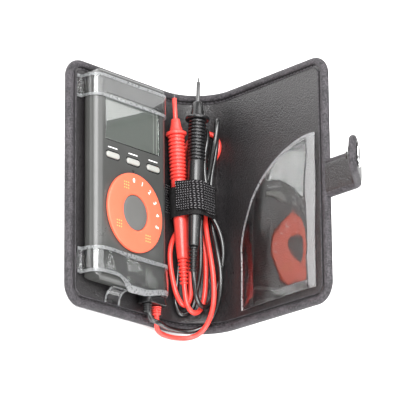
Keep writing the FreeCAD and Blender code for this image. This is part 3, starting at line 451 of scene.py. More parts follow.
RED_TIP, RED_TAIL = beside((9.85, 2.6, 5.6), METER_HEAD), beside((14.05, 17.6, 7.5), METER_FOOT)
BLACK_TIP, BLACK_TAIL = beside((19.35, 11.7, 14.2), METER_HEAD), beside((12.35, 25.6, 15.8), METER_FOOT)

# probe stations along the axis, from the tip
CONE_START, GRIP_END, HANDLE_END, RELIEF_END = 14.3, 46.5, 90.0, 103.5
GRIP_RINGS = 12
LEAD_RADIUS = 1.3
LEAD_SEAT, LEAD_STRAIGHT = 93.05, 107.7     # where a lead starts inside its probe, and where it may bend

# Control points of the two leads: beyond the meter's right side, from its foot and above the lining.
BLACK_ROUTE = [
    (-11.25, -0.1, 5.25), (-11.25, -11.8, 5.25), (-5.25, -13.6, 7.9), (5.75, -13.8, 4.2), (16.25, -13.3, 3.6),
    (22.35, -12.8, 6.4), (26.35, -10.4, 11.2), (27.75, -4.4, 16.4), (27.45, 4.6, 20.4), (26.75, 15.6, 21.8),
    (26.35, 26.6, 20), (26.85, 37.6, 16.8), (26.95, 47.6, 15), (27.05, 67.6, 15.2), (27.6, 79.6, 18.2),
    (28.2, 88, 18.6), (28, 96.6, 18.8), (23, 97, 23.8), (21.8, 88.6, 23.8), (22.05, 79.6, 21.2),
    (24.45, 67.6, 15.9), (22.75, 57.6, 13.8), (21.15, 47.6, 13.8), (21.55, 39.6, 12.6), (22.55, 29.6, 12),
    (23.35, 18.6, 11), (23.75, 8.6, 7.8), (23.55, 0, 6), (20.15, -4, 4.2), (15.95, -4.2, 2.3),
    (13.75, 2.6, 1.8), (15.75, 13.6, 2.1), (16.85, 25.6, 2.5), (19.35, 38.6, 5.5), (17.45, 47.6, 9.4),
    (17.55, 67.6, 9.4), (20.05, 78.6, 8), (23.15, 87.6, 7.6), (24.75, 93.6, 9.8), (24.55, 93.8, 15),
    (23.15, 87, 16.8), (21.85, 78.6, 15.6), (21.05, 67.6, 16), (22.15, 57.6, 17.6), (24.05, 47.6, 17.4),
    (27.95, 38.6, 20.4), (29.95, 27.6, 21.4), (29.95, 13.6, 18), (28.15, 2, 14.6), (22.35, -2.2, 13.6),
    (15.35, 1.2, 14.8)]
RED_ROUTE = [
    (-4.25, -0.1, 5.25), (-4.25, -11.8, 5.25), (-0.25, -16.4, 2), (9.75, -17.3, 1.7), (19.75, -16.8, 4.8),
    (23.35, -14.6, 10.4), (24.35, -8.4, 15.8), (24.45, 0.6, 18.9), (23.95, 12.6, 19.3), (23.75, 25.6, 17.4),
    (24.35, 37.6, 14.4), (25.35, 47.6, 12.6), (25.35, 67.6, 12.8), (28.6, 74.5, 13.8), (31, 84, 19.2),
    (29.2, 92.2, 16), (24.6, 92.4, 9.2), (19.5, 86.2, 4.8), (17.9, 78, 4.6), (17.95, 67.6, 5.4),
    (18.05, 47.6, 5.4), (17.05, 41.4, 2.2), (13.15, 35.6, 1.6), (10.15, 28.6, 1.7), (10.15, 20.6, 2),
    (11.25, 12.1, 2.9), (11.95, 5, 4.3), (14.95, 0.4, 5.3), (18.95, 0, 5.6), (21.35, 5.6, 6.2),
    (20.75, 15.6, 6.2), (21.05, 25.6, 6), (22.15, 36.6, 7.8), (20.65, 47.6, 8.4), (20.55, 65.6, 8),
    (22.75, 73.1, 6.8), (24.75, 78, 7.4), (24.75, 78, 11.8), (23.35, 73.1, 12.4), (21.65, 65.6, 11.1),
    (21.65, 47.6, 11), (23.75, 41.6, 9.7), (26.65, 32.6, 10.8), (27.15, 22.6, 11.6), (26.95, 9.6, 11.2),
    (25.35, 0, 10.6), (20.75, -4.6, 10), (16.15, -3, 9)]


def lead(name, route, tip, tail, finish_used, slot):
    """One flexible lead from the meter's boot to its probe, on a smooth line through its bends."""
    way = (tail - tip).normalized()
    places = [beside(place, METER_FOOT) for place in route]
    places += [tip + way * LEAD_STRAIGHT, tip + way * LEAD_SEAT]
    curve = bpy.data.curves.new(name + "_line", "CURVE")
    curve.dimensions = "3D"
    curve.resolution_u = 10
    spline = curve.splines.new("NURBS")
    spline.points.add(len(places) - 1)
    for point, place in zip(spline.points, places):
        point.co = (*(place * MM), 1)
    spline.order_u = 3
    spline.use_endpoint_u = True
    guide = link(name + "_line", curve)
    bpy.context.view_layer.update()
    line = bpy.data.meshes.new_from_object(guide)
    curve.bevel_depth = LEAD_RADIUS * MM
    curve.bevel_resolution = 4
    curve.use_fill_caps = True
    tube = meshed(name + "_jacket", guide)
    tube.data.materials.append(finish_used)
    tube.data.polygons.foreach_set("use_smooth", [True] * len(tube.data.polygons))
    put(tube, "left_cover", slot, name)
    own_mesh(tube)
    return tube


lead("black_lead", BLACK_ROUTE, BLACK_TIP, BLACK_TAIL, BLACK_JACKET, "black_rubber")
lead("red_lead", RED_ROUTE, RED_TIP, RED_TAIL, RED_JACKET, "red_jacket")


# ---- wallet ----
LEFT_EDGE = -37.0
FLAT = 75.0
HALF_HEIGHT = 63.8
CORNER = 10.5
MIDDLE = 1.5                # the covers' mid-plane above the bench
SPINE_RADIUS = 22.0
CREASE = math.radians(20)
CREASES = 5
ARC_START = LEFT_EDGE + FLAT
ARC_STEP = SPINE_RADIUS * CREASE
ARC_END = ARC_START + CREASES * ARC_STEP
RIGHT_EDGE = ARC_END + FLAT
RIGHT_TURN = CREASES * CREASE
RIGHT_WAY = Vector((math.cos(RIGHT_TURN), 0, math.sin(RIGHT_TURN)))
RIGHT_UP = Vector((-math.sin(RIGHT_TURN), 0, math.cos(RIGHT_TURN)))


def fold(s, y, w):
    """Place of a point of the wallet laid out flat: s along it, w above its mid-plane on the lining side."""
    if s <= ARC_START:
        return Vector((s, y, MIDDLE + w))
    a = min((s - ARC_START) / SPINE_RADIUS, RIGHT_TURN)
    r = SPINE_RADIUS - w
    base = Vector((ARC_START + r * math.sin(a), y, MIDDLE + SPINE_RADIUS - r * math.cos(a)))
    return base + RIGHT_WAY * max(s - ARC_END, 0)


def sew(part, verts, faces, marks):
    """Adds faces to a flat part, each with the place of its finish; those without an area are left out."""
    made = [part.verts.new(v) for v in verts]
    for face, mark in zip(faces, marks):
        if len({tuple(verts[i]) for i in face}) > 2:
            part.faces.new([made[i] for i in face]).material_index = mark


def flat_skin(verts, faces, marks=None):
    """A closed skin of pieces laid out flat."""
    flat = bmesh.new()
    sew(flat, verts, faces, marks or [0] * len(faces))
    bmesh.ops.remove_doubles(flat, verts=flat.verts, dist=1e-4)
    bmesh.ops.dissolve_degenerate(flat, edges=flat.edges, dist=1e-4)
    bmesh.ops.recalc_face_normals(flat, faces=flat.faces)
    return flat


def cut_across(skin, at, side, clear=True):
    """Cuts a flat skin straight across; clear takes away what lies on the given side."""
    bmesh.ops.bisect_plane(skin, geom=skin.verts[:] + skin.edges[:] + skin.faces[:], dist=1e-5,
                           plane_co=(at, 0, 0), plane_no=(side, 0, 0), clear_outer=clear)


def part_between(flat, start, end):
    """A copy of a flat skin between two cuts; None leaves that end as it is."""
    part = flat.copy()
    for cut, side in ((start, -1), (end, 1)):
        if cut is not None:
            cut_across(part, cut, side)
    return part


def folded(part, name, place, finishes, slot, nodes):
    """Folds a flat part by place(s, y, w) and makes it a piece."""
    for v in part.verts:
        v.co = place(*v.co) * MM
    mesh = bpy.data.meshes.new(name)
    part.to_mesh(mesh)
    part.free()
    for used in finishes:
        mesh.materials.append(used)
    mesh.polygons.foreach_set("use_smooth", [True] * len(mesh.polygons))
    return tell(link(name, mesh), slot, nodes)


def zone_pieces(name, verts, faces, finishes, slot, nodes, extra=None, marks=None):
    """Cuts a flat skin into parts, one for each crease, then folds them and bends each over its crease."""
    flat = flat_skin(verts, faces, marks)
    cuts = [None] + [ARC_START + i * ARC_STEP for i in range(CREASES + 1)] + [None]
    for zone in range(CREASES + 2):
        part = part_between(flat, cuts[zone], cuts[zone + 1])
        for bead_verts, bead_faces in (extra or {}).get(zone, []):
            sew(part, bead_verts, bead_faces, [THREAD_MARK] * len(bead_faces))
        piece = folded(part, "%s_%d" % (name, zone), fold, finishes, slot, nodes[zone])
        if 0 < zone <= CREASES:
            fold(cuts[zone], 0, 0) * MM
            fold(cuts[zone + 1], 0, 0) * MM
            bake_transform(piece)
        else:
            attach(piece, "left_cover" if zone == 0 else "right_cover")
    flat.free()


def zone_of(s):
    """Which part of the wallet a place belongs to, laid out flat."""
    return max(0, min(CREASES + 1, math.ceil((s - ARC_START) / ARC_STEP)))


def swell(s, y, size, seed):
    """Slow unevenness of a soft skin, the same in every zone."""
    return noise.noise(Vector((s / size + seed, y / size, seed))) * 0.5


THREAD_MARK = 1             # place of the thread among a sewn piece's finishes
TAPE_WIDTH = 5.6
SEAM_INSET = 4.45
FOLD_STEP = 1.28            # between the points of a skin, so that it bends smoothly
STITCH_HALF, STITCH_RADIUS = 0.8, 0.18
EDGE_PROFILE = [(5.6, 1.35), (5.58, 1.7), (5.5, 1.85), (5.35, 1.9), (5.2, 1.82), (5.05, 1.55),
                (4.9, 1.15), (4.7, 0.9), (SEAM_INSET, 0.85), (4.2, 0.95), (3.95, 1.35), (3.75, 1.75),
                (3.45, 2.05), (2.8, 2.25), (2.0, 2.3), (1.2, 2.1), (0.6, 1.65), (0.2, 1.0), (0.0, 0.2),
                (0.05, -0.5), (0.3, -1.0), (0.8, -1.32), (1.6, -1.48), (4.0, -1.5), (SEAM_INSET, -1.2),
                (4.9, -1.5), (5.5, -1.5), (5.6, -1.25)]
GROOVE_FACES = (5, 6, 7, 8, 9, 10, 23, 24)


def stitches_along(points, inset, heights, pitch, zone_for):
    """Stitches round an outline at an inset, on each of the given heights, sorted by zone."""
    line = [Vector((*place(inset), 0)) for place in points]
    beads = {}
    left = pitch / 2
    for a, b in zip(line, line[1:] + line[:1]):
        run = (b - a).length
        while left < run:
            middle = a.lerp(b, left / run)
            way = (b - a) / run
            for height, rise in heights:
                at, up = middle + Vector((0, 0, height)), Vector((0, 0, rise))
                bead = capsule(at, way, STITCH_HALF, STITCH_RADIUS, up)
                beads.setdefault(zone_for(middle.x), []).append(bead)
            left += pitch
        left -= run
    return beads


def wallet_edge():
    """Tape bound round the wallet's edge and sewn through, its stitches in a pressed groove whose faces carry
    painted shade.
    """
    points = outline(LEFT_EDGE, RIGHT_EDGE, -HALF_HEIGHT, HALF_HEIGHT, CORNER, step=FOLD_STEP,
                     corner_steps=14)
    verts, faces = ring_of(points, EDGE_PROFILE)
    verts = [(x, y, z + (swell(x, y, 9.0, 3.7) * 0.2 + swell(x, y, 3.0, 8.1) * 0.07) * (z > 0))
             for x, y, z in verts]
    beads = stitches_along(points, SEAM_INSET, [(0.95, 1), (-1.3, -1)], pitch=2.5, zone_for=zone_of)
    # Mark 2 gives the groove's faces the darker finish, painted shade in the groove.
    marks = [2 if k % (len(EDGE_PROFILE) - 1) in GROOVE_FACES else 0 for k in range(len(faces))]
    zone_pieces("edge_tape", verts, faces, [BINDING, THREAD, GROOVE_SHADE], "binding",
                [["left_cover_binding"], [], [], [], [], [], ["right_cover_binding"]], beads, marks)


def wallet_skins():
    """Lining and outer leatherette, a little uneven over the board and padding."""
    inset = TAPE_WIDTH - 0.6
    s0, s1 = LEFT_EDGE + inset, RIGHT_EDGE - inset
    y0, y1 = -HALF_HEIGHT + inset, HALF_HEIGHT - inset
    across = round((s1 - s0) / FOLD_STEP)
    rows = round((y1 - y0) / 2.5)
    verts, faces = [], []
    for top in (1, 0):
        start = len(verts)
        for i in range(across + 1):
            for j in range(rows + 1):
                s, y = s0 + (s1 - s0) * i / across, y0 + (y1 - y0) * j / rows
                rim = min(s - s0, s1 - s, y - y0, y1 - y)
                ease = min(1.0, rim / 4)
                lift = MIDDLE + swell(s, y, 16.0, 1.3) * 0.3 * ease if top else -MIDDLE + 0.25 - 0.15 * ease
                verts.append((s, y, lift))
        faces += strip_faces(across + 1, rows + 1, start=start)
    zone_pieces("leatherette", verts, faces, [LEATHER], "leatherette",
                [["left_cover_panel"], *(["spine_panel_%d" % (i + 1)] for i in range(CREASES - 1)), [],
                 ["right_cover_panel"]])


wallet_edge()
wallet_skins()


# ---- closing strap ----
STRAP_Y, STRAP_HALF, STRAP_THICK, STRAP_CORNER = -1.5, 9.9, 2.15, 9.4
ROOT_AT = RIGHT_EDGE + 3.0          # crease places along the wallet laid flat
BEND_AT = ROOT_AT + 17.5
TIP_AT = BEND_AT + 10.5
STRAP_END = TIP_AT + 20.5
CAP_AT = STRAP_END - 8.5
BEND_TURN = math.radians(48)
BEND_RADIUS = 6.5
STRAP_TAPE = 2.3                    # width of its edge tape
STRAP_ROW, STRAP_ROWS = 1.05, 50    # fine rows, so that it bends smoothly
STRAP_PROFILE = [(0, 0), (0.12, 0.75), (0.45, 1.3), (1.0, 1.68), (1.6, 1.84), (2.0, 1.8), (2.25, 1.62),
                 (2.5, 1.82), (3.2, 2.0), (4.2, 2.1), (5.6, 2.14), (7.0, 2.15), (8.5, 2.15), (9.9, 2.15)]


def strap_fold(s, y, w):
    """Place of a point of the strap laid flat in line with the wallet; its far half is bent inwards."""
    reach = BEND_RADIUS * math.tan(BEND_TURN / 2)
    start = BEND_AT - reach
    if s <= start:
        return fold(s, y, w)
    share = min((s - start) / (2 * reach), 1.0)
    a = share * BEND_TURN
    centre = fold(start, y, BEND_RADIUS)
    r = BEND_RADIUS - w
    base = centre + (RIGHT_WAY * math.sin(a) - RIGHT_UP * math.cos(a)) * r
    far = RIGHT_WAY * math.cos(a) + RIGHT_UP * math.sin(a)
    return base + far * max(s - BEND_AT - reach, 0)


def strap_rim(at):
    """How far a point of the flat strap lies inside its edge."""
    from_side = STRAP_HALF - abs(at.y - STRAP_Y)
    round_start = STRAP_END - STRAP_CORNER
    if at.x > round_start:
        return STRAP_CORNER - math.hypot(at.x - round_start, max(STRAP_CORNER - from_side, 0))
    return from_side


def closing_strap():
    """Three padded parts, each bent over its crease, and the polished cap of the snap."""
    points = outline(RIGHT_EDGE - STRAP_CORNER - 2, STRAP_END, STRAP_Y - STRAP_HALF, STRAP_Y + STRAP_HALF,
                     STRAP_CORNER, step=1.0, corner_steps=16)
    profile = [(d, h) for d, h in reversed(STRAP_PROFILE)] + [(d, -h) for d, h in STRAP_PROFILE[1:]]
    verts, faces = ring_of(points, profile)
    beads = stitches_along(points, 2.25, [(1.74, 1), (-1.74, -1)], pitch=2.4, zone_for=lambda s: 0)
    cuts = [RIGHT_EDGE - 1.0, (ROOT_AT + BEND_AT) / 2, (BEND_AT + TIP_AT) / 2, None]
    names = [("strap_near", "right_cover", "strap_root", ROOT_AT, ("strap_anchor", "strap_root")),
             ("strap_elbow", "strap_root", "strap_middle", BEND_AT, ("strap_middle",)),
             ("strap_end", "strap_middle", "strap_tip", TIP_AT, ("strap_tip",))]
    flat = flat_skin(verts, faces)
    for i in range(1, STRAP_ROWS):
        cut_across(flat, RIGHT_EDGE - 1.5 + i * STRAP_ROW, 1, clear=False)
    for k, (name, near, far, crease, nodes) in enumerate(names):
        part = part_between(flat, cuts[k], cuts[k + 1])
        for bead_verts, bead_faces in beads[0]:
            middle = sum(v.x for v in bead_verts) / len(bead_verts)
            if cuts[k] < middle <= (cuts[k + 1] or STRAP_END) and middle > RIGHT_EDGE + 0.5:
                sew(part, bead_verts, bead_faces, [THREAD_MARK] * len(bead_faces))
        for face in part.faces:
            if face.material_index == 0 and strap_rim(face.calc_center_median()) < STRAP_TAPE:
                face.material_index = 2
        piece = folded(part, name, strap_fold, (LEATHER, THREAD, BINDING), "leatherette", nodes)
        strap_fold(crease - 3.0, 0, 0) * MM
        strap_fold(crease + 3.0, 0, 0) * MM
        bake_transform(piece)
    flat.free()
    base = strap_fold(CAP_AT, STRAP_Y, -STRAP_THICK + 0.15)
    out = (strap_fold(CAP_AT, STRAP_Y, -STRAP_THICK - 1) - base).normalized()
    dome = [(0, 0), (0, 5.6), (0.25, 6.1), (0.6, 6.3), (0.9, 6.2), (1.0, 5.9), (0.95, 5.5), (1.15, 5.0),
            (1.4, 4.0), (1.6, 2.8), (1.72, 1.4), (1.76, 0)]
    put(lathe("polished_cap", dome, base, out, CHROME), "strap_tip", "chrome", "snap_cap")


closing_strap()


# ---- meter ----
def slab(name, points, profile, finishes):
    """Closed piece from a rounded outline and a profile of (inset, height) from its underside to its top."""
    verts, faces = ring_of(points, profile)
    n = len(profile)
    faces += [[i * n for i in range(len(points))], [i * n + n - 1 for i in range(len(points))]]
    return closed(name, verts, faces, finishes)


def join(name, parts, finishes):
    """One mesh from (points, faces, mark) parts, in millimetres."""
    verts, faces, marks = [], [], []
    for part_verts, part_faces, mark in parts:
        faces += [[i + len(verts) for i in face] for face in part_faces]
        marks += [mark] * len(part_faces)
        verts += part_verts
    return closed(name, verts, faces, finishes, marks=marks)


def buttons():
    """Each button's cap, a black ring round it that paints the shade of its slot, and a plain mark above it.
    """
    half_long, half_wide, slot = 5.1, 1.8, 0.4
    mark_long, mark_low, mark_high = 3.4, 3.6, 4.1
    for name in ("hold_button", "select_button", "range_button"):
        low, high = span(name)
        x, y, z = (low.x + high.x) / 2, (low.y + high.y) / 2, METER_FACE
        edge = outline(x - half_long, x + half_long, y - half_wide, y + half_wide, half_wide - 0.01,
                       step=1.0, corner_steps=12)
        dome = [(0.3, z - 1.2), (0.3, z + 0.15), (0.36, z + 0.38), (0.52, z + 0.56), (0.8, z + 0.66),
                (1.2, z + 0.7), (1.6, z + 0.71)]
        put(slab(name + "_cap", edge, dome, [BUTTON]), name, "button_grey", name)
        # Black ring in the gap round the cap: painted shade of the slot's recess.
        rim = outline(x - half_long - slot, x + half_long + slot, y - half_wide - slot, y + half_wide + slot,
                      half_wide + slot, step=1.0, corner_steps=12)
        collar = [(0.5, z - 0.3), (0.0, z - 0.3), (0.0, z + 0.03), (0.06, z + 0.09), (0.4, z + 0.09),
                  (0.5, z + 0.03)]
        verts, faces = ring_of(rim, collar)
        n = len(collar)
        for i in range(len(rim)):
            after = (i + 1) % len(rim)
            faces.append([i * n + n - 1, after * n + n - 1, after * n, i * n])
        put(closed(name + "_painted_slot_shade", verts, faces, [BLACK_MOULD]), "left_cover", "black_plastic")
        dash = outline(x - mark_long, x + mark_long, y + mark_low, y + mark_high, r=0.2, step=1.0,
                       corner_steps=4)
        put(slab(name + "_mark", dash, [(0, z - 0.1), (0, z + 0.03)], [PRINT]), "left_cover", "case_grey")


FRAME_SIDE, FRAME_LOW, FRAME_HIGH, FRAME_LINE = 19.6, 22.7, 45.6, 0.25
LENS_LEAN = -0.012          # the lens dips towards the meter's head by this slope
LENS_MIDDLE = 34.15


def bar(x0, x1, y0, y1, low, high):
    """Points and faces of a straight bar."""
    verts = [(x, y, z) for z in (low, high) for x, y in ((x0, y0), (x1, y0), (x1, y1), (x0, y1))]
    return verts, [[3, 2, 1, 0], [4, 5, 6, 7], [0, 1, 5, 4], [1, 2, 6, 5], [2, 3, 7, 6], [3, 0, 4, 7]]


def display():
    """Lines round the display's field and the glass over it."""
    top = span("lcd_glass")[1].z
    bars = [(-FRAME_SIDE, FRAME_SIDE, FRAME_LOW, FRAME_LOW + FRAME_LINE),
            (-FRAME_SIDE, FRAME_SIDE, FRAME_HIGH - FRAME_LINE, FRAME_HIGH),
            (-FRAME_SIDE, -FRAME_SIDE + FRAME_LINE, FRAME_LOW, FRAME_HIGH),
            (FRAME_SIDE - FRAME_LINE, FRAME_SIDE, FRAME_LOW, FRAME_HIGH),
            (16.9, 17.1, FRAME_LOW + 0.5, FRAME_HIGH - 0.5)]
    lines = [(*bar(*sides, top - 0.05, top + 0.04), 0) for sides in bars]
    put(join("display_frame_lines", lines, [LCD_LINE]), "left_cover", "lcd")
    edge = outline(-20.4, 20.4, 21.9, 46.4, r=1.0, step=1.0, corner_steps=8)
    under, over = METER_FACE - 1.3, METER_FACE - 0.2
    glass = [(0.9, under), (0.25, under), (0, under + 0.15), (0, over - 0.2), (0.2, over - 0.02),
             (0.35, over), (0.9, over)]
    lens = slab("display_glass", edge, glass, [LENS])
    for v in lens.data.vertices:
        v.co.z += (v.co.y - LENS_MIDDLE * MM) * LENS_LEAN
    put(lens, "left_cover", "lens", "display_lens")


DIAL_Y = -12.5
DIAL_RADIUS, DIAL_BORE = 20.3, 9.2
DOT_RING, DOT_PITCH = 14.75, 1.5
NUMBER_RING, FIRST_NUMBER, NUMBER_STEP = 16.4, 95, 22       # radius, then degrees


def dial():
    """The knob's ring with its grip dots and plain numbers, the hub in its bore and a pointer."""
    low = METER_FACE + 0.15
    face = low + 1.7
    centre = (0, DIAL_Y, 0)
    ring = [(METER_FACE - 1.6, DIAL_BORE), (face - 0.25, DIAL_BORE), (face - 0.06, DIAL_BORE + 0.08),
            (face, DIAL_BORE + 0.3), (face, 12.0), (face, 16.0), (face, DIAL_RADIUS - 0.75),
            (face - 0.05, DIAL_RADIUS - 0.45), (face - 0.2, DIAL_RADIUS - 0.18),
            (face - 0.5, DIAL_RADIUS), (low + 0.2, DIAL_RADIUS), (low, DIAL_RADIUS - 0.2), (low, 11.4),
            (METER_FACE - 1.6, 11.4), (METER_FACE - 1.6, DIAL_BORE)]
    put(lathe("dial_ring", ring, centre, (0, 0, 1), ORANGE, 128), "range_dial", "orange", "range_dial")
    parts = []
    around = [(math.cos(a * 0.785), math.sin(a * 0.785)) for a in range(8)]
    for first in (118, 213, 308):
        turn = math.radians(first)
        middle = Vector((math.cos(turn), math.sin(turn), 0)) * DOT_RING + Vector((0, DIAL_Y, face))
        for i in (-1, 0, 1):
            for j in (-1, 0, 1):
                verts = []
                for rise, r in ((-0.1, 0.4), (0.08, 0.38), (0.18, 0.28), (0.24, 0.12)):
                    verts += [middle + Vector((i * DOT_PITCH + r * x, j * DOT_PITCH + r * y, rise))
                              for x, y in around]
                faces = strip_faces(4, 8, round_across=True) + [list(range(7, -1, -1)), list(range(24, 32))]
                parts.append((verts, faces, 0))
    put(join("grip_dots", parts, [GRIP_DOTS]), "range_dial", "orange")
    for number in range(6):
        text = bpy.data.curves.new("numeral", "FONT")
        text.body = str(number)
        text.size = 3.1 * MM
        text.extrude = 0.04 * MM
        text.offset = 0.05 * MM
        text.align_x, text.align_y = "CENTER", "CENTER"
        numeral = meshed("dial_number_%d" % number, link("numeral", text))
        turn = math.radians(FIRST_NUMBER - NUMBER_STEP * number)
        place = Vector((NUMBER_RING * math.cos(turn), DIAL_Y + NUMBER_RING * math.sin(turn),
                        face + 0.01)) * MM
        numeral.data.transform(Matrix.Translation(place) @ Matrix.Rotation(turn - math.pi / 2, 4, "Z"))
        numeral.data.materials.append(PRINT)
        put(numeral, "range_dial", "orange")
    hub_top = METER_FACE + 1.45
    hub_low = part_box("dial_hub")[0].z / MM
    hub = [(hub_low, 0), (hub_low, 9.0), (hub_top - 0.35, 9.0), (hub_top - 0.1, 8.9), (hub_top, 8.65),
           (hub_top, 6), (hub_top, 3), (hub_top, 0)]
    put(lathe("hub_cap", hub, centre, (0, 0, 1), HUB, 96), "left_cover", "hub_grey", "dial_hub")
    arrow = [(-1.1, 9.95), (1.1, 9.95), (0, 8.2)]
    verts = [(x, y, METER_FACE + z) for z in (-0.1, 0.03) for x, y in arrow]
    put(join("dial_pointer", [(verts, [[2, 1, 0], [3, 4, 5], [0, 1, 4, 3], [1, 2, 5, 4], [2, 0, 3, 5]], 0)],
             [DARK_PRINT]), "left_cover", "case_grey")


def soft_sheet(name, place, rows, across, thick, welded, seed, ripple, weld_extra, size, film):
    """Clear sheet over a grid: place(u, v) is its underside; it ripples outwards and has welded edges."""
    def normal(u, v):
        e = 1e-3
        du = place(min(u + e, 1), v) - place(max(u - e, 0), v)
        dv = place(u, min(v + e, 1)) - place(u, max(v - e, 0))
        return du.cross(dv).normalized()
    lower, upper = [], []
    for i in range(rows):
        for j in range(across):
            u, v = i / (rows - 1), j / (across - 1)
            at, out = place(u, v), normal(u, v)
            wave = (noise.noise(at / size + Vector((seed, seed, seed))) * 0.5 + 0.5) * ripple
            weld = weld_extra if welded(u, v) else 0
            lower.append(at + out * wave)
            upper.append(at + out * (wave + thick + weld))
    n = len(lower)
    faces = [list(reversed(f)) for f in strip_faces(rows, across)] + strip_faces(rows, across, start=n)
    marks = []
    for face in faces:
        us = sum(((i % n) // across) / (rows - 1) for i in face) / 4
        vs = sum(((i % n) % across) / (across - 1) for i in face) / 4
        marks.append(1 if welded(us, vs) else 0)
    border = [i * across for i in range(rows)] + [(rows - 1) * across + j for j in range(1, across)] + \
        [i * across + across - 1 for i in range(rows - 2, -1, -1)] + list(range(across - 2, 0, -1))
    for a, b in zip(border, border[1:] + border[:1]):
        faces.append([a, b, b + n, a + n])
        marks.append(1)
    return closed(name, lower + upper, faces, [film, WELD], marks=marks)


SHEET_THICK = 0.4
BAND_GAP, BAND_BEND, BAND_FOOT = 0.15, 5.15, 3.8    # from the meter, radius over its sides, sewn foot
CUT_DEEP, CUT_BACK = 4.2, 2.0       # how far the lower band's edge drops from left to right, and comes back
DROOP, DROOP_FROM = 0.22, 2.2       # how it sags past the meter's foot, and how far above that it begins


def over_meter(share):
    """Underside of a clear band across the meter, from foot to foot: (x, z) at a share of the way."""
    half, top, foot_z = METER_SIDE + BAND_GAP, METER_FACE + BAND_GAP, LINING + 0.02
    r, out = BAND_BEND, BAND_FOOT
    runs = [out, top - r - foot_z, r * math.pi / 2, 2 * (half - r), r * math.pi / 2, top - r - foot_z, out]
    along = share * sum(runs)
    for k, run in enumerate(runs):
        if along <= run or k == len(runs) - 1:
            break
        along -= run
    turn = along / r
    return [(-half - out + along, foot_z), (-half, foot_z + along),
            (-half + r - r * math.cos(turn), top - r + r * math.sin(turn)), (-half + r + along, top),
            (half - r + r * math.sin(turn), top - r + r * math.cos(turn)), (half, top - r - along),
            (half + along, foot_z)][k]


def smooth_step(share):
    """Eases from 0 to 1."""
    share = min(max(share, 0.0), 1.0)
    return share * share * (3 - 2 * share)


def clear_bands():
    """Bands over the meter's head and foot; the lower one has a sloping edge and sags past the foot."""
    for name, node_name, cut, seed, bulge in (("head_band", "top_band", False, 2.1, 0.6),
                                              ("foot_band", "lower_band", True, 7.4, 1.7)):
        low, high = span(node_name)

        def place(u, v, low=low, high=high, cut=cut):
            x, z = over_meter(u)
            start = low.y
            if cut:
                start -= CUT_DEEP * smooth_step((x + 14) / 13) - CUT_BACK * smooth_step((x - 8) / 16)
            y = start + (high.y - start) * v
            past = max(0.0, METER_FOOT + DROOP_FROM - y)
            return Vector((x, y, z - (DROOP * past * past if z > METER_FACE - 6 else 0)))
        band = soft_sheet(name, place, 121, 17, SHEET_THICK, lambda u, v: v < 0.12 or v > 0.88, seed,
                          ripple=bulge, weld_extra=0.12, size=13.0, film=BAND_FILM)
        put(band, "left_cover", "clear_sheet", node_name)


def clear_stop():
    """Tab of clear sheet at the meter's foot; it curves up from where it is sewn."""
    low, high = span("bottom_stop")
    bend = high.y - SHEET_THICK

    def place(u, v):
        x = high.x + (low.x - high.x) * v
        foot, elbow = Vector((x, low.y - 1.6, low.z)), Vector((x, bend - 0.3, low.z + 0.8))
        return foot.lerp(elbow, u).lerp(elbow.lerp(Vector((x, bend, high.z - 0.4)), u), u)
    tab = soft_sheet("stop_tab", place, 41, 25, SHEET_THICK, lambda u, v: v < 0.1 or v > 0.9 or u > 0.94, 4.4,
                     ripple=0.12, weld_extra=0.1, size=3.0, film=BAND_FILM)
    put(tab, "left_cover", "clear_sheet", "bottom_stop")


POCKET_MARGIN = 7.4         # from the wallet's edge
POCKET_IN, POCKET_OUT = ARC_END + 11.12, RIGHT_EDGE - POCKET_MARGIN
POCKET_LOW = -HALF_HEIGHT + POCKET_MARGIN
POCKET_RISE, POCKET_LIFT = 1.5, 0.5         # how far it stands off the lining inwards, and upwards


def circle_through(a, b, c):
    """Centre and radius of the circle through three places."""
    d = 2 * (a[0] * (b[1] - c[1]) + b[0] * (c[1] - a[1]) + c[0] * (a[1] - b[1]))
    sq = [p[0] ** 2 + p[1] ** 2 for p in (a, b, c)]
    x = (sq[0] * (b[1] - c[1]) + sq[1] * (c[1] - a[1]) + sq[2] * (a[1] - b[1])) / d
    y = (sq[0] * (c[0] - b[0]) + sq[1] * (a[0] - c[0]) + sq[2] * (b[0] - a[0])) / d
    return x, y, math.hypot(a[0] - x, a[1] - y)


def pocket():
    """Sheet pocket on the right lining, laid along rays from its lower outer corner to its free edge."""
    inner, outer = (POCKET_IN, -24.0), (POCKET_OUT, 23.5)
    cx, cy, r = circle_through(inner, (ARC_END + 31.72, 10.3), outer)
    first, last = math.atan2(inner[1] - cy, inner[0] - cx), math.atan2(outer[1] - cy, outer[0] - cx)
    first, last = first % (2 * math.pi), last % (2 * math.pi)
    arc = abs(last - first) * r
    straight = inner[1] - POCKET_LOW
    corner = (POCKET_OUT - 1.2, POCKET_LOW + 1.2)

    def edge(u):
        along = u * (straight + arc)
        if along < straight:
            return POCKET_IN, POCKET_LOW + along
        a = first + (last - first) * (along - straight) / arc
        return cx + r * math.cos(a), cy + r * math.sin(a)

    def place(u, v):
        ex, ey = edge(u)
        reach = 0.004 + 0.996 * v
        s, y = corner[0] + (ex - corner[0]) * reach, corner[1] + (ey - corner[1]) * reach
        near = max(POCKET_OUT - s, 0)
        rise = POCKET_RISE * (1 - math.exp(-near / 4)) + POCKET_LIFT * min(max(y - POCKET_LOW, 0) / 5, 1)
        return fold(s, y, MIDDLE + 0.35 + rise * min(1, 0.25 + max(s - POCKET_IN, 0) / 14))
    sheet = soft_sheet("document_sheet", place, 141, 61, 0.3, lambda u, v: v > 0.985, 9.2,
                       ripple=1.0, weld_extra=0.25, size=22.0, film=CLEAR)
    put(sheet, "right_cover", "clear_sheet", "document_pocket")


buttons()
display()
dial()
clear_bands()
clear_stop()
pocket()


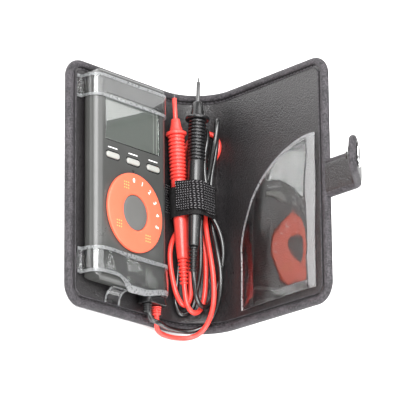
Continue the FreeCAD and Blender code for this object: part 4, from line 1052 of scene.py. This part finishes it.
# ---- probes, boot and reliefs ----
def relief_profile(start, length, rings, large, small, groove):
    """Soft sleeve with rounded rings that get smaller towards the lead."""
    pitch = length / rings
    points = [(start, 0.0), (start, large - groove)]
    for k in range(rings):
        low = large + (small - large) * k / max(rings - 1, 1) - groove
        for step in range(7):
            turn = math.pi * step / 6
            points.append((start + pitch * (k + 0.44 - 0.34 * math.cos(turn)), low + groove * math.sin(turn)))
        points.append((start + pitch * (k + 0.9), low))
    points += [(start + length, small - groove), (start + length, 0.0)]
    return points


def probe(colour, tip, tail, body, mould, slot, stout, grip_start, flange, handle_end):
    """A probe on the line from its tip to its tail; stout widens its cone, grip and handle."""
    way = tail - tip
    shaft = 0.95 * stout
    needle = [(0, 0), (0.02, 0.1), (0.5, 0.24), (1.2, 0.38), (2.0, 0.45), (2.7, 0.45), (2.82, 0.6),
              (3.0, shaft - 0.06), (3.15, shaft), (CONE_START + 1, shaft), (CONE_START + 1, 0)]
    put(lathe(colour + "_probe_needle", needle, tip, way, STEEL, 24), body, "steel", colour + "_probe_pin")
    if colour == "red":
        sleeve = [(3.0, 0.86), (3.0, 1.08), (3.1, 1.15), (CONE_START + 0.5, 1.15),
                  (CONE_START + 0.5, 0.86), (3.0, 0.86)]
        put(lathe("red_needle_sleeve", sleeve, tip, way, RED_MOULD, 24), body, slot, "red_probe_sleeve")
    cone_end = grip_start - 1.6
    grip = [(CONE_START, 0), (CONE_START, 1.9), (CONE_START + 0.12, 2.15), (CONE_START + 0.5, 2.34),
            (CONE_START + 3.5, 2.78), (cone_end - 1.4, 3.36), (cone_end - 0.35, 3.5), (cone_end - 0.05, 3.75),
            (cone_end, 4.4), (cone_end + 0.04, flange - 0.45), (cone_end + 0.2, flange - 0.16),
            (cone_end + 0.5, flange - 0.04), (cone_end + 0.85, flange), (grip_start - 0.35, flange - 0.08),
            (grip_start - 0.1, flange - 0.3), (grip_start, flange - 0.65), (grip_start + 0.03, 4.2),
            (grip_start + 0.08, 3.5)]
    grip = [(z, r if r > 4 else r * stout) for z, r in grip]
    pitch = (GRIP_END - grip_start) / GRIP_RINGS
    for k in range(GRIP_RINGS):
        for step in range(8):
            turn = math.pi * step / 7
            along = grip_start + pitch * (k + 0.54 - 0.42 * math.cos(turn))
            grip.append((along, stout * (3.4 + 1.0 * math.sin(turn))))
    handle = [(0.1, 3.74), (0.4, 3.92), (1.0, 3.98), (6, 3.96), (20, 3.84)]
    grip += [(GRIP_END + z, r * stout) for z, r in handle]
    end = [(16, 3.56), (8, 3.22), (1.2, 2.92), (0.5, 2.84), (0.12, 2.7), (0, 2.4), (0, 0)]
    grip += [(handle_end - z, r) for z, r in end]
    put(lathe(colour + "_probe_grip", grip, tip, way, mould, 64), body, slot, colour + "_probe_handle")
    sleeve = relief_profile(handle_end + 0.05, RELIEF_END - HANDLE_END, 7, 2.75, 2.15, 0.95)
    put(lathe(colour + "_probe_sleeve", sleeve, tip, way, mould, 48), body, slot, colour + "_probe_relief")


probe("red", RED_TIP, RED_TAIL, "left_cover", RED_MOULD, "red_rubber", stout=1.0, grip_start=23.0,
      flange=5.5, handle_end=88.6)
probe("black", BLACK_TIP, BLACK_TAIL, "black_probe", BLACK_MOULD, "black_rubber", stout=1.07,
      grip_start=24.4, flange=6.3, handle_end=93.2)


BOOT_BLACK, BOOT_RED, BOOT_AXIS = METER_SIDE - 11.25, METER_SIDE - 4.25, METER_BACK + 5.15


def boot():
    """The flared block where both leads leave the meter, with a relief for each."""
    low, high = span("lead_boot")
    flare = 0.8
    x0, x1, z0, z1 = low.x + flare, high.x - flare, low.z + flare, high.z - flare
    near, far = high.y, low.y
    stations = [(0.0, -0.15), (0.02, 0.0), (0.2, 0.03), (0.45, 0.14), (0.7, 0.42), (0.85, 0.66),
                (0.93, 0.8), (0.97, 0.74), (1.0, 0.5), (1.0, -0.6), (1.0, -2.0)]
    verts = []
    for share, grow in stations:
        y = near + (far - near) * share
        edge = outline(x0 - grow, x1 + grow, z0 - grow, z1 + grow, r=1.7, step=1.6, corner_steps=8)
        verts += [(place(0)[0], y, place(0)[1]) for place in edge]
    count = len(verts) // len(stations)
    faces = strip_faces(len(stations), count, round_across=True)
    faces += [list(range(count)), list(range(len(verts) - count, len(verts)))]
    put(closed("boot_body", verts, faces, [BLACK_MOULD]), "left_cover", "black_rubber", "lead_boot")
    sleeve = relief_profile(0, 4.6, rings=4, large=2.5, small=2.2, groove=0.85)
    for colour, x, mould, slot in (("black", BOOT_BLACK, BLACK_MOULD, "black_rubber"),
                                   ("red", BOOT_RED, RED_MOULD, "red_rubber")):
        relief = lathe(colour + "_boot_sleeve", sleeve, (x, far, BOOT_AXIS), (0, -1, 0), mould, 48)
        put(relief, "left_cover", slot, colour + "_boot_relief")


boot()


# ---- woven strap round the probes and leads ----
STRAP_LOW, STRAP_HIGH = METER_FOOT + 48.4, METER_FOOT + 63.9
HANDLE_RADIUS = 3.95
TAPE_THICK = 0.7
STRANDS = [(18.15, 5.4), (27.05, 15.0), (23.75, 17.5)]
STRAND_GAP = 0.15


def axis_at(tip, tail, y):
    """Centre (x, z) of a probe at a given y."""
    at = tip.lerp(tail, (y - tip.y) / (tail.y - tip.y))
    return at.x, at.z


def held_circles(y):
    """What the strap runs round at a given y: both handles and the outermost strands of lead."""
    probes = ((RED_TIP, RED_TAIL), (BLACK_TIP, BLACK_TAIL))
    handles = [(*axis_at(tip, tail, y), HANDLE_RADIUS) for tip, tail in probes]
    return handles + [(METER_SIDE + x, LINING + z, LEAD_RADIUS + STRAND_GAP) for x, z in STRANDS]


def round_bundle(y):
    """Outline of the taut strap's inside at a given y: (place, outward way, length so far)."""
    circles = held_circles(y)
    corners, rays, steps = [], 720, 220
    for k in range(rays):
        a = 2 * math.pi * k / rays
        out = Vector((math.cos(a), 0, math.sin(a)))
        x, z, r = max(circles, key=lambda c: c[0] * out.x + c[1] * out.z + c[2])
        corners.append(Vector((x, y, z)) + out * r)
    lengths = [0.0]
    for a, b in zip(corners, corners[1:] + corners[:1]):
        lengths.append(lengths[-1] + (b - a).length)
    corners.append(corners[0])
    line, k = [], 0
    for i in range(steps):
        want = lengths[-1] * i / steps
        while lengths[k + 1] < want:
            k += 1
        run = lengths[k + 1] - lengths[k]
        line.append(corners[k].lerp(corners[k + 1], (want - lengths[k]) / run if run > 1e-9 else 0))
    outline_points = []
    for i, at in enumerate(line):
        way = line[(i + 1) % steps] - line[i - 1]
        out = Vector((way.z, 0, -way.x)).normalized()
        outline_points.append((at, out, lengths[-1] * i / steps))
    return outline_points


def tape_faces(rows, across, closed):
    """Faces of a tape of two-point columns, under and upper; closed joins its last row to its first."""
    n = across * 2
    faces = []
    for i in range(rows if closed else rows - 1):
        a, b = i * n, ((i + 1) % rows) * n
        for j in range(across - 1):
            faces.append([a + 2 * j, b + 2 * j, b + 2 * j + 2, a + 2 * j + 2])
            faces.append([a + 2 * j + 1, a + 2 * j + 3, b + 2 * j + 3, b + 2 * j + 1])
        faces.append([a, a + 1, b + 1, b])
        faces.append([a + n - 2, b + n - 2, b + n - 1, a + n - 1])
    if not closed:
        for a in (0, (rows - 1) * n):
            faces += [[a + 2 * j, a + 2 * j + 1, a + 2 * j + 3, a + 2 * j + 2] for j in range(across - 1)]
    return faces


def tape_layer(name, inside, keep, ragged, material, shift_at, body, *nodes):
    """A layer of tape round the bundle; keep picks what stays of it, ragged roughens its free end."""
    across = 13
    columns = [round_bundle(STRAP_LOW + (STRAP_HIGH - STRAP_LOW) * j / (across - 1)) for j in range(across)]
    steps = len(columns[0])
    middle = columns[across // 2]
    if keep:
        kept = [i for i in range(steps) if keep(middle[i][0])]
        gap = max(range(len(kept)), key=lambda k: (kept[k] - kept[k - 1]) % steps)
        kept = kept[gap:] + kept[:gap]
    else:
        kept = list(range(steps))
    verts, uv = [], []
    for i in kept:
        for j in range(across):
            at, out, along = columns[j][i]
            rib = 0.06 * math.sin(along * 2.2 + j * 0.9) + 0.05 * swell(along, j * 2.0, 3.0, 5.5)
            edge = 0.12 if j in (0, across - 1) else 0
            y = at.y + shift_at(at.x)
            shift = Vector((0, 0, 0))
            if ragged and i == kept[-1]:
                way_out = columns[j][kept[-1]][0] - columns[j][kept[-3]][0]
                shift = way_out * (noise.noise(Vector((j * 1.7, 0, 3))) * 1.4)
            for lift in (inside + rib + edge * 0.4, inside + TAPE_THICK + rib - edge * 0.6):
                verts.append(Vector((at.x, y, at.z)) + out * lift + shift)
                uv.append((along, y))
    faces = tape_faces(len(kept), across, closed=not keep)
    return put(closed(name, verts, faces, [material], uv=uv, merge=False), body, "woven_tape", *nodes)


def lead_strap():
    """Its loop, its free flap over both probes, and the base sewn to the lining."""
    loop = tape_layer("strap_loop", 0.4, None, False, TAPE_BACK, lambda x: -3.8, "black_probe",
                      "lead_strap_loop")
    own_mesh(loop)
    middle = (STRAP_LOW + STRAP_HIGH) / 2
    red_x, red_z = axis_at(RED_TIP, RED_TAIL, middle)
    black_x, black_z = axis_at(BLACK_TIP, BLACK_TAIL, middle)
    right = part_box("lead_strap_flap")[1].x / MM

    def over_probes(p):
        return p.x < right - 0.2 and p.z > (black_z - 3.6 if p.x > black_x else red_z + 2)
    tape_layer("strap_flap", 1.75, over_probes, True, TAPE_WITH_PAINTED_GLINTS, lambda x: -1.5 - 0.16 * (x - red_x), "strap_flap",
               "lead_strap_flap")
    low, high = span("lead_strap_base")
    verts, uv, faces = [], [], []
    rows, across = 8, 16
    for i in range(rows + 1):
        for j in range(across + 1):
            x, y = low.x + (high.x - low.x) * i / rows, low.y + (high.y - low.y) * j / across
            for z in (low.z, high.z + 0.05 * math.sin(i * 2.4 + j)):
                verts.append((x, y, z))
                uv.append((x, y))

    def under(i, j):
        return (i * (across + 1) + j) * 2
    for i in range(rows):
        for j in range(across):
            a, b = under(i, j), under(i + 1, j)
            faces += [[a, a + 2, b + 2, b], [a + 1, b + 1, b + 3, a + 3]]
    for i in range(rows):
        for j in (0, across):
            a, b = under(i, j), under(i + 1, j)
            faces.append([a, b, b + 1, a + 1])
    for j in range(across):
        for i in (0, rows):
            a = under(i, j)
            faces.append([a, a + 1, a + 3, a + 2])
    base = closed("strap_base", verts, faces, [TAPE_WITH_PAINTED_GLINTS], uv=uv, merge=False)
    put(base, "left_cover", "woven_tape", "lead_strap_base")


lead_strap()

# ---- bench and light ----
FLOOR_HALF, FLOOR_DROP = 3000, -0.05


def stage():
    """A pale bench, a white room and five soft lights."""
    pale = finish("pale bench", (0.9, 0.9, 0.9), (0.88, 0.88, 0.88), (0.6, 0.7), SKIN, limits=(0.25, 0.75))
    verts = [(x * FLOOR_HALF, y * FLOOR_HALF, FLOOR_DROP) for x, y in ((-1, -1), (1, -1), (1, 1), (-1, 1))]
    floor = mesh_piece("floor", verts, [[0, 1, 2, 3]], [pale])
    world = bpy.data.worlds.new("studio")
    bpy.context.scene.world = world
    world.use_nodes = True
    back = world.node_tree.nodes["Background"]
    back.inputs["Color"].default_value = (1, 1, 1, 1)
    back.inputs["Strength"].default_value = 0.6

    middle = Vector((0.02, 0, 0.02))

    def panel(name, place, width, height, power):
        data = bpy.data.lights.new(name, "AREA")
        data.shape = "RECTANGLE"
        data.size, data.size_y, data.energy = width, height, power
        lamp = link(name, data)
        place = Vector(place)
        turn = (place - middle).to_track_quat("Z", "Y").to_matrix()
        lamp.matrix_world = Matrix.Translation(place) @ turn.to_4x4()
    panel("key", (-0.66, 0.25, 0.62), 0.6, 0.6, 12.0)
    panel("fill", (-0.2, -0.75, 0.5), 0.7, 0.5, 9.0)
    panel("beyond", (0.75, 0.36, 0.65), 0.6, 0.6, 2.0)
    panel("low side", (0.75, -0.62, 0.32), 0.6, 0.4, 3.0)
    panel("top", (-0.1, 0.27, 0.9), 1.2, 1.2, 15.0)
    bpy.context.scene.view_settings.view_transform = "Standard"


stage()
